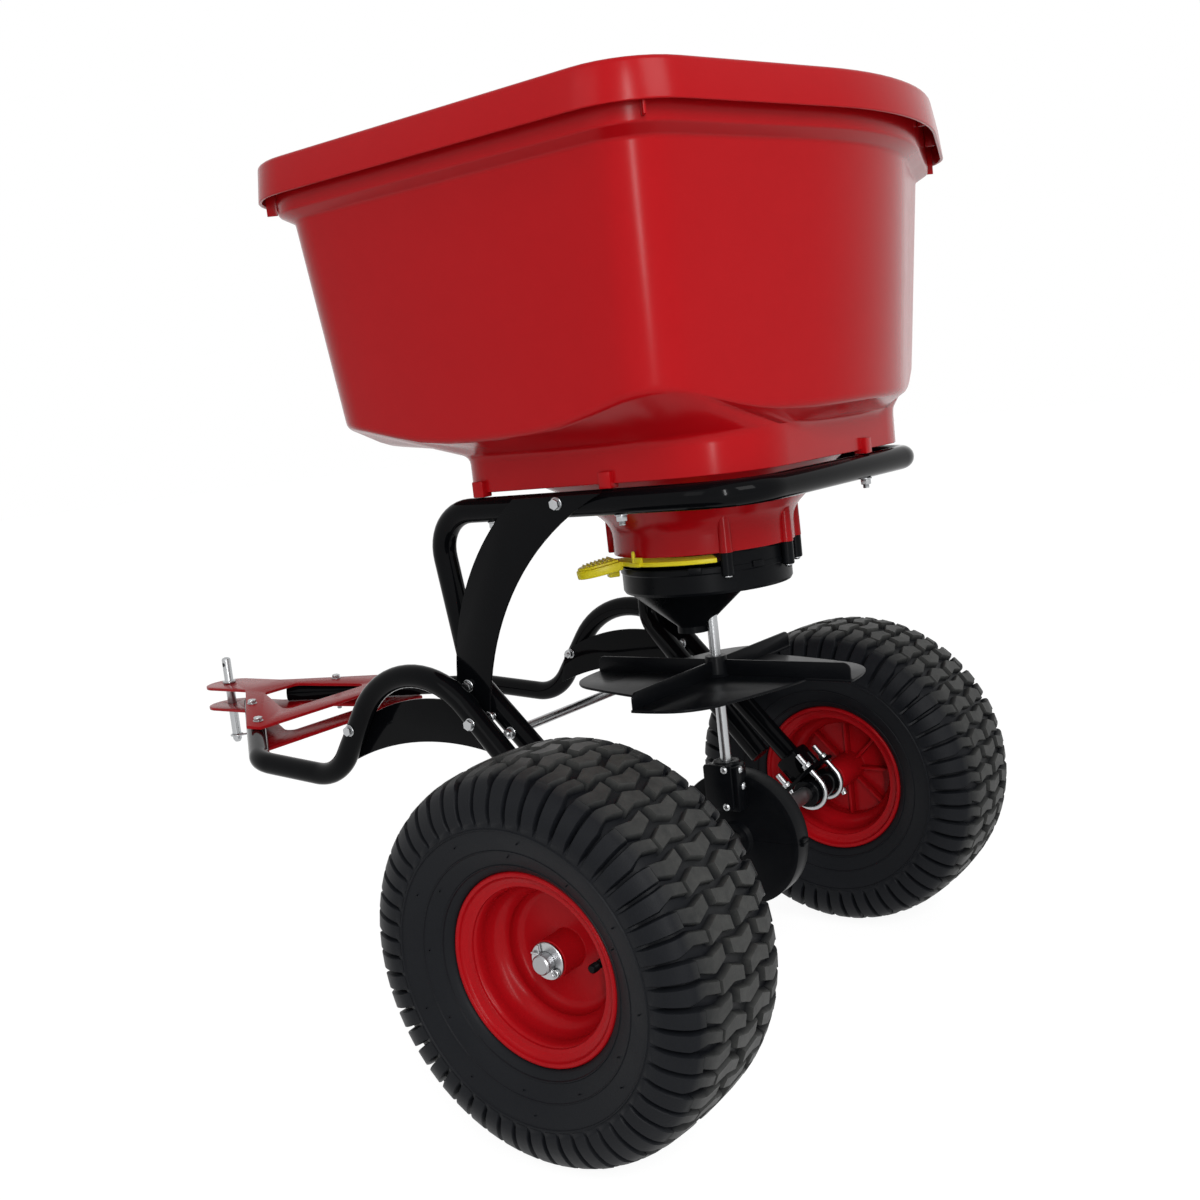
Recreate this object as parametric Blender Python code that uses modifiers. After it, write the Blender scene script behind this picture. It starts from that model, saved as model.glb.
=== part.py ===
"""Tow behind broadcast spreader.

Units are metres and +Z is up. The spreader stands on two wheels at Z = 0, the hitch points to -Y and
the spreader's left side is +X. Every piece hangs from one empty at the centre of the axle, so the sizes
and places below are measured from the axle: X to the left, Y to the rear and Z up.
"""
import math

import bmesh
import bpy
from mathutils import Matrix, Vector

# Fits
SEAT_GAP = 0.0003
RUN_GAP = 0.0003

# Wheels and tyres
TYRE_RADIUS = 0.1905
TYRE_WIDTH = 0.165
TYRE_WALL = 0.007
TREAD_DROP = 0.009
TRACK = 0.615
RIM_FLANGE_RADIUS = 0.0925
RIM_SEAT_RADIUS = 0.0765
RIM_WELL_RADIUS = 0.064
RIM_WIDTH = 0.120
RIM_WALL = 0.003
FLANGE_LIP = 0.007
FLANGE_EDGE = 0.0035
HUB_RADIUS = 0.019
HUB_OUTER_REACH = 0.034
DISC_OFFSET = 0.003
BOWL_RADIUS = 0.009
WHEEL_RIBS = 8
RIB_THICKNESS = 0.004
RIB_DEPTH = 0.014
VALVE_RADIUS = 0.0045
VALVE_LENGTH = 0.026
VALVE_CIRCLE = 0.047
VALVE_TURN = -2.4

# Axle and its fastenings
AXLE_RADIUS = 0.0095
AXLE_END_REACH = 0.014
WASHER_RADIUS = 0.018
WASHER_THICKNESS = 0.003
COTTER_RADIUS = 0.0018
COTTER_LENGTH = 0.034
COTTER_TILT = 45.0
DRIVE_PIN_RADIUS = 0.004
DRIVE_PIN_LENGTH = 0.054
DRIVE_PIN_TILT = 25.0
SLEEVE_RADIUS = 0.0165
SLEEVE_LENGTH = 0.070
SADDLE_THICKNESS = 0.004
SADDLE_LENGTH = 0.068
SADDLE_WIDTH = 0.060
U_BOLT_RADIUS = 0.004
U_BOLT_SPREAD = 0.022
U_BOLT_LEG = 0.042

# Bent tubes
TUBE_RADIUS = 0.0127
DRAWBAR_X = 0.211
DRAWBAR_BEND = 0.060
HUMP_BEND = 0.115
HUMP_Z = 0.220
HUMP_REAR_Y = -0.195
HUMP_FRONT_Y = -0.322
DIP_Y = -0.394
DIP_Z = 0.106
TURN_Y = -0.530
DRAWBAR_TIP_X = 0.032
DRAWBAR_TIP_Y = -0.752
GUSSET_THICKNESS = 0.003
LEG_BEND = 0.050
LEG_Y = -0.202
LEG_KNEE_X = 0.172
LEG_KNEE_Z = 0.220
LEG_END_X = 0.160
LEG_END_Y = -0.048
LEG_END_Z = 0.051
HOOP_X = 0.200
HOOP_Z = 0.404
HOOP_REAR_Y = 0.170
HOOP_CORNER = 0.058
COLUMN_THICKNESS = 0.003
COLUMN_TOP_FRONT_Y = -0.116
COLUMN_TOP_REAR_Y = 0.010
COLUMN_WAIST_FRONT_Y = -0.176
COLUMN_WAIST_REAR_Y = -0.106
COLUMN_WAIST_Z = 0.308
COLUMN_HEEL_Y = -0.212
COLUMN_HEEL_Z = 0.205
COLUMN_TOE_Y = -0.164
COLUMN_TOE_Z = 0.162
TIE_ROD_RADIUS = 0.005
TIE_ROD_Z = 0.164

# Hitch
PLATE_THICKNESS = 0.004
TONGUE_Z = 0.139
TONGUE_HALF = 0.033
FOLD_Y = -0.765
FOLD_SLOPE = 0.0963
PIN_Y = -0.840
PIN_RADIUS = 0.0063
PIN_COLLAR_RADIUS = 0.0095
PIN_TOP_Z = 0.195
PIN_BOTTOM_Z = 0.068
PIN_COLLAR_HEIGHT = 0.004
PIN_RING_RADIUS = 0.007
PIN_RING_WIRE = 0.003
CLIP_WIRE = 0.0015
CLIP_Z = 0.078
ARM_OUTER_X = 0.155
ARM_REAR_Y = -0.598
ARM_MARGIN = 0.011
ARM_CHAMFER = 0.020
WINDOW_FRONT_Y = -0.728
WINDOW_FRONT_HALF = 0.030
WINDOW_REAR_Y = -0.632
WINDOW_HALF = 0.078

# Hopper
RIM_Z = 0.7636
HOPPER_Y = -0.0554
HOPPER_HALF_WIDTH = 0.3265
HOPPER_CORNER_Y = 0.2296
HOPPER_NOSE_Y = 0.3406
HOPPER_CORNER_RADIUS = 0.078
HOPPER_NOSE_RADIUS = 0.364
HOPPER_WALL = 0.0035
BAND_HEIGHT = 0.035
BAND_FLARE = 0.004
LIP_INSET = 0.014
LIP_DROP = 0.048
WALL_TOP_INSET = 0.028
WALL_TOP_DROP = 0.056
WALL_FOOT_INSET = 0.048
WALL_FOOT_Z = 0.489
FLOOR_SLOPE = 0.40
SKIRT_TOP_Z = 0.458
SKIRT_DROP = 0.0045
SKIRT_FRONT_Y = -0.168
SKIRT_CORNER = 0.045
FOOT_SIZE = 0.014
NECK_RADIUS = 0.0985
NECK_TOP_Z = 0.366
NECK_FLARE = 0.034
NECK_FLARE_Z = 0.398
NECK_BOSS_HEIGHT = 0.040

# Metering base, gate and lever
BASE_TOP_Z = 0.3206
BASE_RADIUS = 0.0935
BASE_RIM_HEIGHT = 0.0286
BASE_WALL = 0.004
CHUTE_Y = -0.024
CHUTE_TOP_RADIUS = 0.069
CHUTE_BOTTOM_Z = 0.239
CHUTE_BOTTOM_RADIUS = 0.018
SHAFT_GUIDE_RADIUS = 0.010
SHAFT_GUIDE_Z = 0.268
COLLAR_RADIUS = 0.012
GATE_THICKNESS = 0.003
GATE_RADIUS = 0.084
GATE_LIFT = 0.002
PORT_RADIUS = 0.011
PORT_CENTRE = 0.045
PORT_AZIMUTHS = (-125.0, -55.0)
GATE_TURN = 40.0
LEVER_THICKNESS = 0.005
LEVER_ROOM = 0.004
LEVER_INNER_RADIUS = 0.068
LEVER_OUTER_RADIUS = 0.101
LEVER_REACH = 0.146
LEVER_GRIP_HALF = 0.021
LEVER_AZIMUTH = -40.0
LEVER_SWEEP = 78.0
BOSS_RADIUS = 0.0065
BOSS_AZIMUTHS = (44.0, 92.0, 125.0, -160.0)

# Drive and impeller
SHAFT_RADIUS = 0.006
SHAFT_TOP_Z = 0.372
SHAFT_BOTTOM_Z = 0.050
IMPELLER_Z = 0.187
IMPELLER_THICKNESS = 0.003
IMPELLER_WAIST = 0.110
IMPELLER_REACH = 0.163
IMPELLER_VANES = 4
IMPELLER_EDGE = ((-2, 1.0), (8, 1.0), (18, 0.97), (28, 0.78), (38, 0.46), (50, 0.20), (62, 0.06), (75, 0.0),
                 (87.9, 0.0))
VANE_HEIGHT = 0.018
VANE_THICKNESS = 0.003
IMPELLER_HUB_RADIUS = 0.014
IMPELLER_HUB_TOP_Z = 0.212
IMPELLER_HUB_BOTTOM_Z = 0.168
AGITATOR_Z = 0.340
AGITATOR_RADIUS = 0.011
AGITATOR_HEIGHT = 0.022
AGITATOR_ARM = 0.050
AGITATOR_WIRE = 0.003
CROWN_TEETH = 48
PINION_TEETH = 10
CROWN_PITCH_RADIUS = 0.060
TOOTH_DEPTH = 0.0044
TOOTH_WIDTH = 0.009
TOOTH_SHARE = 0.27
TOOTH_CLEARANCE = 0.0005
CROWN_DISC = 0.005
CROWN_HUB_RADIUS = 0.017
CROWN_HUB_LENGTH = 0.008
BOX_CAVITY_RADIUS = 0.073
BOX_SIDE_GAP = 0.0014
PINION_CAVITY_RADIUS = 0.0165
PINION_CAVITY_HEIGHT = 0.024
BOX_WALL = 0.0035
BOX_BOSS_RADIUS = 0.0205
BOX_BOSS_BOTTOM_Z = 0.040
BOX_BOSS_TOP_Z = 0.093
BOX_FLANGE_HALF = 0.092
BOX_FLANGE_THICKNESS = 0.004

# Facets
ROUND = 16
FINE_ROUND = 20
SMALL_ROUND = 12

# Places that follow from the sizes above
WHEEL_X = TRACK / 2
GUSSET_X = DRAWBAR_X - TUBE_RADIUS - SEAT_GAP - GUSSET_THICKNESS / 2
COLUMN_FOOT_X = GUSSET_X - GUSSET_THICKNESS / 2 - SEAT_GAP - COLUMN_THICKNESS / 2
COLUMN_FOOT_Z = HUMP_Z - 0.004
COLUMN_TOP_X = HOOP_X + TUBE_RADIUS + 1.5 * SEAT_GAP + COLUMN_THICKNESS / 2
COLUMN_TILT = math.atan2(COLUMN_TOP_X - COLUMN_FOOT_X, HOOP_Z - COLUMN_FOOT_Z)
SKIRT_BOTTOM_Z = HOOP_Z + TUBE_RADIUS + SKIRT_DROP
HUB_INNER_REACH = WHEEL_X - DRAWBAR_X - SLEEVE_LENGTH / 2 - RUN_GAP
PLATE_OFFSET = TUBE_RADIUS + SEAT_GAP + PLATE_THICKNESS / 2
NECK_BOTTOM_Z = BASE_TOP_Z + GATE_LIFT + GATE_THICKNESS + SEAT_GAP + LEVER_THICKNESS + LEVER_ROOM
PINION_PITCH_RADIUS = CROWN_PITCH_RADIUS * PINION_TEETH / CROWN_TEETH
CROWN_FACE_X = -(PINION_PITCH_RADIUS + TOOTH_DEPTH / 2 + TOOTH_CLEARANCE)
CROWN_TIP_X = CROWN_FACE_X + TOOTH_DEPTH
CROWN_END_X = CROWN_FACE_X - CROWN_DISC - CROWN_HUB_LENGTH
LEG_TILT = math.atan2(-HUMP_REAR_Y, HUMP_Z)


def clear_scene():
    """Remove the objects and collections that the file opens with."""
    for item in list(bpy.data.objects):
        bpy.data.objects.remove(item, do_unlink=True)
    for group in list(bpy.data.collections):
        bpy.data.collections.remove(group)


def new_collection(name):
    group = bpy.data.collections.new(name)
    bpy.context.scene.collection.children.link(group)
    return group


def new_material(name, color, roughness, metallic=0.0):
    finish = bpy.data.materials.new(name)
    finish.use_nodes = True
    shader = finish.node_tree.nodes["Principled BSDF"]
    shader.inputs["Base Color"].default_value = (*color, 1.0)
    shader.inputs["Roughness"].default_value = roughness
    shader.inputs["Metallic"].default_value = metallic
    return finish


clear_scene()
PARTS = new_collection("tow_behind_spreader")
CUTTERS = new_collection("cutters")
RED_PLASTIC = new_material("red_plastic", (0.52, 0.012, 0.02), 0.38)
RED_PAINT = new_material("red_paint", (0.60, 0.015, 0.02), 0.30)
BLACK_PAINT = new_material("black_paint", (0.012, 0.012, 0.013), 0.28)
BLACK_PLASTIC = new_material("black_plastic", (0.015, 0.015, 0.016), 0.5)
RUBBER = new_material("rubber", (0.018, 0.018, 0.018), 0.75)
YELLOW_PLASTIC = new_material("yellow_plastic", (0.85, 0.72, 0.02), 0.4)
ZINC = new_material("zinc", (0.62, 0.62, 0.60), 0.32, 1.0)
STEEL = new_material("steel", (0.45, 0.45, 0.46), 0.35, 1.0)


def place(name, data, finish, location=(0, 0, 0), rotation=(0, 0, 0)):
    """Make an object that hangs from the axle datum."""
    item = bpy.data.objects.new(name, data)
    PARTS.objects.link(item)
    item.parent = DATUM
    item.location = location
    item.rotation_euler = rotation
    data.materials.append(finish)
    return item


def smooth(mesh, angle=35.0):
    mesh.shade_smooth()
    mesh.set_sharp_from_angle(angle=math.radians(angle))


def as_cutter(item):
    """Hide a helper object that only cuts or joins another."""
    PARTS.objects.unlink(item)
    CUTTERS.objects.link(item)
    item.hide_render = True
    item.display_type = "WIRE"
    return item


def combine(item, helper, operation):
    mod = item.modifiers.new(operation.lower(), "BOOLEAN")
    mod.operation = operation
    mod.object = as_cutter(helper)
    return item


def mesh_from(form, name):
    mesh = bpy.data.meshes.new(name)
    bmesh.ops.recalc_face_normals(form, faces=form.faces)
    form.to_mesh(mesh)
    form.free()
    return mesh


def boxes(name, specs):
    """One mesh of boxes, each given as a matrix that places a unit cube."""
    form = bmesh.new()
    for matrix in specs:
        bmesh.ops.create_cube(form, size=1.0, matrix=matrix)
    return mesh_from(form, name)


def cylinders(name, specs, segments=SMALL_ROUND):
    """One mesh of cylinders, each given as radius, length and a matrix for its centre."""
    form = bmesh.new()
    for radius, length, matrix in specs:
        bmesh.ops.create_cone(form, cap_ends=True, segments=segments, radius1=radius,
                              radius2=radius, depth=length, matrix=matrix)
    mesh = mesh_from(form, name)
    smooth(mesh)
    return mesh


def sized(center, size, turn=None):
    """Matrix for a unit cube of a given size at a given centre."""
    spin = turn.to_4x4() if turn else Matrix.Identity(4)
    return Matrix.Translation(center) @ spin @ Matrix.Diagonal((*size, 1.0))


def turned(name, profile, finish, steps=ROUND, closed=True, along_x=False, location=(0, 0, 0)):
    """Spin a profile of (radius, height) about its axis. It runs down the outer side."""
    mesh = bpy.data.meshes.new(name)
    points = [(radius, 0.0, height) for radius, height in profile]
    edges = [(i, i + 1) for i in range(len(points) - 1)]
    if closed:
        edges.append((len(points) - 1, 0))
    mesh.from_pydata(points, edges, [])
    rotation = (0, math.pi / 2, 0) if along_x else (0, 0, 0)
    item = place(name, mesh, finish, location, rotation)
    mod = item.modifiers.new("spin", "SCREW")
    mod.steps = steps
    mod.render_steps = steps
    mod.use_merge_vertices = True
    mod.merge_threshold = 0.00001
    mod.use_smooth_shade = False
    return item


def ring_profile(inner, outer, bottom, top):
    return [(outer, top), (outer, bottom), (inner, bottom), (inner, top)]


def fillet(points, radii, steps):
    """Round the corners of an open or closed path. Returns the rounded path."""
    path = [points[0]]
    for before, corner, after, radius in zip(points, points[1:], points[2:], radii):
        to_before = (before - corner).normalized()
        to_after = (after - corner).normalized()
        half = to_before.angle(to_after) / 2
        cut = radius / math.tan(half)
        bisector = (to_before + to_after).normalized()
        center = corner + bisector * (radius / math.sin(half))
        start = corner + to_before * cut - center
        end = corner + to_after * cut - center
        sweep = start.angle(end)
        for step in range(steps + 1):
            share = step / steps
            weight_a = math.sin((1 - share) * sweep) / math.sin(sweep)
            weight_b = math.sin(share * sweep) / math.sin(sweep)
            path.append(center + start * weight_a + end * weight_b)
    path.append(points[-1])
    return path


def wire(name, path, radius, finish, closed=False, resolution=3, location=(0, 0, 0), rotation=(0, 0, 0)):
    """A round tube or wire along a path of points."""
    curve = bpy.data.curves.new(name, "CURVE")
    curve.dimensions = "3D"
    curve.bevel_depth = radius
    curve.bevel_resolution = resolution
    curve.use_fill_caps = not closed
    spline = curve.splines.new("POLY")
    spline.points.add(len(path) - 1)
    for point, spot in zip(spline.points, path):
        point.co = (*spot, 1.0)
    spline.use_cyclic_u = closed
    spline.use_smooth = True
    return place(name, curve, finish, location, rotation)


def flat_plate(name, outlines, thickness, finish, location=(0, 0, 0), rotation=(0, 0, 0)):
    """A flat sheet cut to an outline. Further outlines are holes."""
    curve = bpy.data.curves.new(name, "CURVE")
    curve.dimensions = "2D"
    curve.fill_mode = "BOTH"
    curve.extrude = thickness / 2
    for outline in outlines:
        spline = curve.splines.new("POLY")
        spline.points.add(len(outline) - 1)
        for point, spot in zip(spline.points, outline):
            point.co = (spot[0], spot[1], 0.0, 1.0)
        spline.use_cyclic_u = True
    return place(name, curve, finish, location, rotation)


def to_mesh(item):
    """Swap a curve object for a welded mesh object with the same name and place."""
    bpy.context.view_layer.update()
    evaluated = item.evaluated_get(bpy.context.evaluated_depsgraph_get())
    mesh = bpy.data.meshes.new_from_object(evaluated)
    form = bmesh.new()
    form.from_mesh(mesh)
    bmesh.ops.remove_doubles(form, verts=form.verts, dist=0.00001)
    bmesh.ops.recalc_face_normals(form, faces=form.faces)
    form.to_mesh(mesh)
    form.free()
    name = item.name
    finish = item.data.materials[0]
    location = item.location.copy()
    rotation = item.rotation_euler.copy()
    bpy.data.objects.remove(item, do_unlink=True)
    mesh.materials.clear()
    return place(name, mesh, finish, location, rotation)


def circle(center, radius, steps=SMALL_ROUND):
    turns = [2 * math.pi * i / steps for i in range(steps)]
    return [(center[0] + radius * math.cos(t), center[1] + radius * math.sin(t)) for t in turns]


def arc_through(first, middle, last, steps):
    """Points along the circle that passes through three points in a plane."""
    ax, ay = first
    bx, by = middle
    cx, cy = last
    area = 2 * (ax * (by - cy) + bx * (cy - ay) + cx * (ay - by))
    ux = ((ax**2 + ay**2) * (by - cy) + (bx**2 + by**2) * (cy - ay) + (cx**2 + cy**2) * (ay - by)) / area
    uy = ((ax**2 + ay**2) * (cx - bx) + (bx**2 + by**2) * (ax - cx) + (cx**2 + cy**2) * (bx - ax)) / area
    radius = math.hypot(ax - ux, ay - uy)
    start = math.atan2(ay - uy, ax - ux)
    sweep = (math.atan2(cy - uy, cx - ux) - start + math.pi) % (2 * math.pi) - math.pi
    turns = [start + sweep * i / steps for i in range(steps + 1)]
    return [(ux + radius * math.cos(t), uy + radius * math.sin(t)) for t in turns]


def polar(radius, degrees, height=0.0):
    turn = math.radians(degrees)
    return Vector((radius * math.cos(turn), radius * math.sin(turn), height))


def mirrored(path, side):
    return [Vector((spot.x * side, spot.y, spot.z)) for spot in path]


# Hopper outline

def rounded_corner(before, corner, after, radius, steps):
    """Points and outward normals of one rounded corner of a plan outline."""
    to_before = (before - corner).normalized()
    to_after = (after - corner).normalized()
    half = to_before.angle(to_after) / 2
    center = corner + (to_before + to_after).normalized() * (radius / math.sin(half))
    start = (corner + to_before * (radius / math.tan(half)) - center).normalized()
    end = (corner + to_after * (radius / math.tan(half)) - center).normalized()
    sweep = start.angle(end)
    spots = []
    for step in range(steps + 1):
        share = step / steps
        normal = start * math.sin((1 - share) * sweep) + end * math.sin(share * sweep)
        normal.normalize()
        spots.append((center + normal * radius, normal))
    return spots


def plan_outline(corners, steps_per_corner, steps_per_run):
    """Walk a rounded polygon once round. Returns points with their outward normals."""
    rounded = []
    count = len(corners)
    for i, (corner, radius) in enumerate(corners):
        before = corners[i - 1][0]
        after = corners[(i + 1) % count][0]
        rounded.append(rounded_corner(before, corner, after, radius, steps_per_corner[i]))
    spots = []
    for i, arc in enumerate(rounded):
        spots.extend(arc)
        following = rounded[(i + 1) % count][0]
        last_point, last_normal = arc[-1]
        for step in range(1, steps_per_run[i] + 1):
            share = step / (steps_per_run[i] + 1)
            spots.append((last_point.lerp(following[0], share), last_normal))
    return spots


def hopper_outline():
    """Six-sided plan with round corners and bowed ends, centred on the hopper."""
    half, corner_y, nose_y = HOPPER_HALF_WIDTH, HOPPER_CORNER_Y, HOPPER_NOSE_Y
    corner, nose = HOPPER_CORNER_RADIUS, HOPPER_NOSE_RADIUS
    corners = [
        (Vector((half, -corner_y)), corner),
        (Vector((half, corner_y)), corner),
        (Vector((0.0, nose_y)), nose),
        (Vector((-half, corner_y)), corner),
        (Vector((-half, -corner_y)), corner),
        (Vector((0.0, -nose_y)), nose),
    ]
    return plan_outline(corners, (4, 4, 4, 4, 4, 4), (3, 1, 1, 3, 1, 1))


HOPPER_PLAN = hopper_outline()
HOPPER_REAR = HOPPER_Y + max(spot.y for spot, _ in HOPPER_PLAN) + BAND_FLARE
HITCH_REACH = TONGUE_HALF - PIN_Y
DATUM = bpy.data.objects.new("axle_datum", None)
PARTS.objects.link(DATUM)
DATUM.location = (0.0, (HITCH_REACH - HOPPER_REAR) / 2, TYRE_RADIUS)


def hopper_ring(inset, height):
    return [Vector((p.x - n.x * inset, HOPPER_Y + p.y - n.y * inset, height)) for p, n in HOPPER_PLAN]


def skirt_ring(inset, height):
    """Rounded rectangle over the hoop tube, with as many points as the hopper outline."""
    half = HOOP_X + HOPPER_WALL / 2
    front = SKIRT_FRONT_Y
    rear = HOOP_REAR_Y + HOPPER_WALL / 2
    corners = [
        (Vector((half, front)), SKIRT_CORNER),
        (Vector((half, rear)), SKIRT_CORNER),
        (Vector((0.0, rear + 0.0002)), SKIRT_CORNER),
        (Vector((-half, rear)), SKIRT_CORNER),
        (Vector((-half, front)), SKIRT_CORNER),
        (Vector((0.0, front - 0.0002)), SKIRT_CORNER),
    ]
    plan = plan_outline(corners, (4, 4, 4, 4, 4, 4), (3, 1, 1, 3, 1, 1))
    return [Vector((p.x - n.x * inset, p.y - n.y * inset, height)) for p, n in plan]


def neck_ring(radius, height):
    ring = []
    for spot in skirt_ring(0.0, height):
        around = Vector((spot.x, spot.y)).normalized()
        ring.append(Vector((around.x * radius, around.y * radius, height)))
    return ring


def wall_foot_ring(inset, lift):
    """Foot of the walls, which rides up at the corners where the sloping floor is farther out."""
    base = HOPPER_HALF_WIDTH - WALL_FOOT_INSET
    ring = []
    for spot in hopper_ring(inset, 0.0):
        reach = math.hypot(spot.x, spot.y - HOPPER_Y)
        ring.append(Vector((spot.x, spot.y, WALL_FOOT_Z + FLOOR_SLOPE * (reach - base) + lift)))
    return ring


def loft(rings):
    """Closed skin over a loop of rings that have the same number of points."""
    form = bmesh.new()
    rows = [[form.verts.new(spot) for spot in ring] for ring in rings]
    for row, following in zip(rows, rows[1:] + rows[:1]):
        for i in range(len(row)):
            j = (i + 1) % len(row)
            form.faces.new((row[i], row[j], following[j], following[i]))
    return form


def build_hopper():
    wall = HOPPER_WALL
    rings = [
        hopper_ring(0.0, RIM_Z),
        hopper_ring(-BAND_FLARE, RIM_Z - BAND_HEIGHT),
        hopper_ring(wall - BAND_FLARE, RIM_Z - BAND_HEIGHT),
        hopper_ring(wall, RIM_Z - wall),
        hopper_ring(LIP_INSET - wall / 2, RIM_Z - wall),
        hopper_ring(LIP_INSET, RIM_Z - LIP_DROP),
        hopper_ring(WALL_TOP_INSET, RIM_Z - WALL_TOP_DROP),
        wall_foot_ring(WALL_FOOT_INSET, 0.0),
        skirt_ring(0.0, SKIRT_TOP_Z),
        skirt_ring(0.0, SKIRT_BOTTOM_Z),
        skirt_ring(wall, SKIRT_BOTTOM_Z),
        skirt_ring(wall, SKIRT_TOP_Z - wall),
        neck_ring(NECK_RADIUS + NECK_FLARE, NECK_FLARE_Z),
        neck_ring(NECK_RADIUS, NECK_TOP_Z),
        neck_ring(NECK_RADIUS, NECK_BOTTOM_Z),
        neck_ring(NECK_RADIUS - wall, NECK_BOTTOM_Z),
        neck_ring(NECK_RADIUS - wall, NECK_TOP_Z + wall / 2),
        neck_ring(NECK_RADIUS + NECK_FLARE - wall / 2, NECK_FLARE_Z + wall),
        skirt_ring(wall, SKIRT_TOP_Z + wall),
        wall_foot_ring(WALL_FOOT_INSET + wall, wall),
        hopper_ring(WALL_TOP_INSET + wall, RIM_Z - WALL_TOP_DROP + wall / 2),
        hopper_ring(LIP_INSET + wall, RIM_Z - LIP_DROP + wall),
        hopper_ring(LIP_INSET + wall / 2, RIM_Z),
    ]
    mesh = mesh_from(loft(rings), "hopper")
    smooth(mesh, 28.0)
    hopper = place("hopper", mesh, RED_PLASTIC)
    foot_bottom = HOOP_Z + TUBE_RADIUS + SEAT_GAP
    foot_height = SKIRT_BOTTOM_Z - foot_bottom + HOPPER_WALL
    spots = [(side * HOOP_X, y) for side in (1, -1) for y in (SKIRT_FRONT_Y + SKIRT_CORNER, 0.035)]
    spots += [(side * HOOP_X / 2, HOOP_REAR_Y) for side in (1, -1)]
    feet = boxes("hopper_feet", [
        sized((x, y, foot_bottom + foot_height / 2), (FOOT_SIZE, FOOT_SIZE, foot_height)) for x, y in spots])
    combine(hopper, place("hopper_feet", feet, RED_PLASTIC), "UNION")
    bosses = ring_bosses("neck_bosses", NECK_BOTTOM_Z, NECK_BOSS_HEIGHT)
    return combine(hopper, place("neck_bosses", bosses, RED_PLASTIC), "UNION")


def ring_bosses(name, bottom, height):
    """Screw bosses round the neck and the base, which meet end to end."""
    return cylinders(name, [
        (BOSS_RADIUS, height, Matrix.Translation(polar(NECK_RADIUS, azimuth, bottom + height / 2)))
        for azimuth in BOSS_AZIMUTHS], 12)


# Frame tubes

def drawbar_path():
    up_leg = Vector((0.0, HUMP_REAR_Y, HUMP_Z)).normalized()
    start = up_leg * (SLEEVE_RADIUS + SADDLE_THICKNESS + 2 * SEAT_GAP)
    turn_z = TONGUE_Z - FOLD_SLOPE * (TURN_Y - FOLD_Y)
    tip_z = TONGUE_Z - FOLD_SLOPE * (DRAWBAR_TIP_Y - FOLD_Y)
    points = [
        Vector((DRAWBAR_X, start.y, start.z)),
        Vector((DRAWBAR_X, HUMP_REAR_Y, HUMP_Z)),
        Vector((DRAWBAR_X, HUMP_FRONT_Y, HUMP_Z)),
        Vector((DRAWBAR_X, DIP_Y, DIP_Z)),
        Vector((DRAWBAR_X, TURN_Y, turn_z)),
        Vector((DRAWBAR_TIP_X, DRAWBAR_TIP_Y, tip_z)),
    ]
    return fillet(points, [HUMP_BEND, HUMP_BEND, DRAWBAR_BEND, DRAWBAR_BEND], 5)


def hoop_path():
    points = []
    for side in (1, -1):
        leg = [
            Vector((side * LEG_END_X, LEG_END_Y, LEG_END_Z)),
            Vector((side * LEG_KNEE_X, LEG_Y, LEG_KNEE_Z)),
            Vector((side * HOOP_X, LEG_Y, HOOP_Z)),
            Vector((side * HOOP_X, HOOP_REAR_Y, HOOP_Z)),
        ]
        points.extend(leg if side == 1 else leg[::-1])
    radii = [LEG_BEND, LEG_BEND, HOOP_CORNER, HOOP_CORNER, LEG_BEND, LEG_BEND]
    return fillet(points, radii, 5)


def build_frame():
    path = drawbar_path()
    for side, word in ((1, "left"), (-1, "right")):
        wire(f"drawbar_{word}", mirrored(path, side), TUBE_RADIUS, BLACK_PAINT)
    wire("hopper_frame", hoop_path(), TUBE_RADIUS, BLACK_PAINT)
    for side, word in ((1, "left"), (-1, "right")):
        build_gusset(side, word)
        build_column(side, word)
        build_axle_seat(side, word)
    share = (LEG_KNEE_Z - TIE_ROD_Z) / (LEG_KNEE_Z - LEG_END_Z)
    tie_half = LEG_KNEE_X + share * (LEG_END_X - LEG_KNEE_X) - TUBE_RADIUS - 2 * SEAT_GAP
    tie_y = LEG_Y + share * (LEG_END_Y - LEG_Y)
    rod = cylinders("tie_rod", [(TIE_ROD_RADIUS, 2 * tie_half, Matrix.Rotation(math.pi / 2, 4, "Y"))])
    place("tie_rod", rod, ZINC, (0.0, tie_y, TIE_ROD_Z))


def side_plate(name, outline, thickness, x, tilt=0.0):
    """A plate that stands in a side plane, drawn with its Y and Z coordinates. Tilt leans its top out."""
    turn = Matrix.Rotation(tilt, 3, "Y") @ Matrix(((0, 0, 1), (1, 0, 0), (0, 1, 0)))
    return flat_plate(name, [outline], thickness, BLACK_PAINT, (x, 0, 0), turn.to_euler())


def build_gusset(side, word):
    """Arched plate under the hump, from the drawbar's rise to the leg."""
    rise_y = DIP_Y + (HUMP_FRONT_Y - DIP_Y) * 0.45
    rise_z = DIP_Z + (HUMP_Z - DIP_Z) * 0.45
    back_y = HUMP_REAR_Y + 0.026
    low_z = HUMP_Z - 0.074
    middle_y = (rise_y + back_y) / 2
    top = arc_through((rise_y, rise_z), (middle_y, HUMP_Z - 0.012), (back_y, HUMP_Z - 0.036), 10)
    under = arc_through((back_y, low_z), (middle_y, low_z + 0.006), (rise_y - 0.012, rise_z - 0.032), 8)
    side_plate(f"gusset_{word}", top + under, GUSSET_THICKNESS, side * GUSSET_X)


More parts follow.
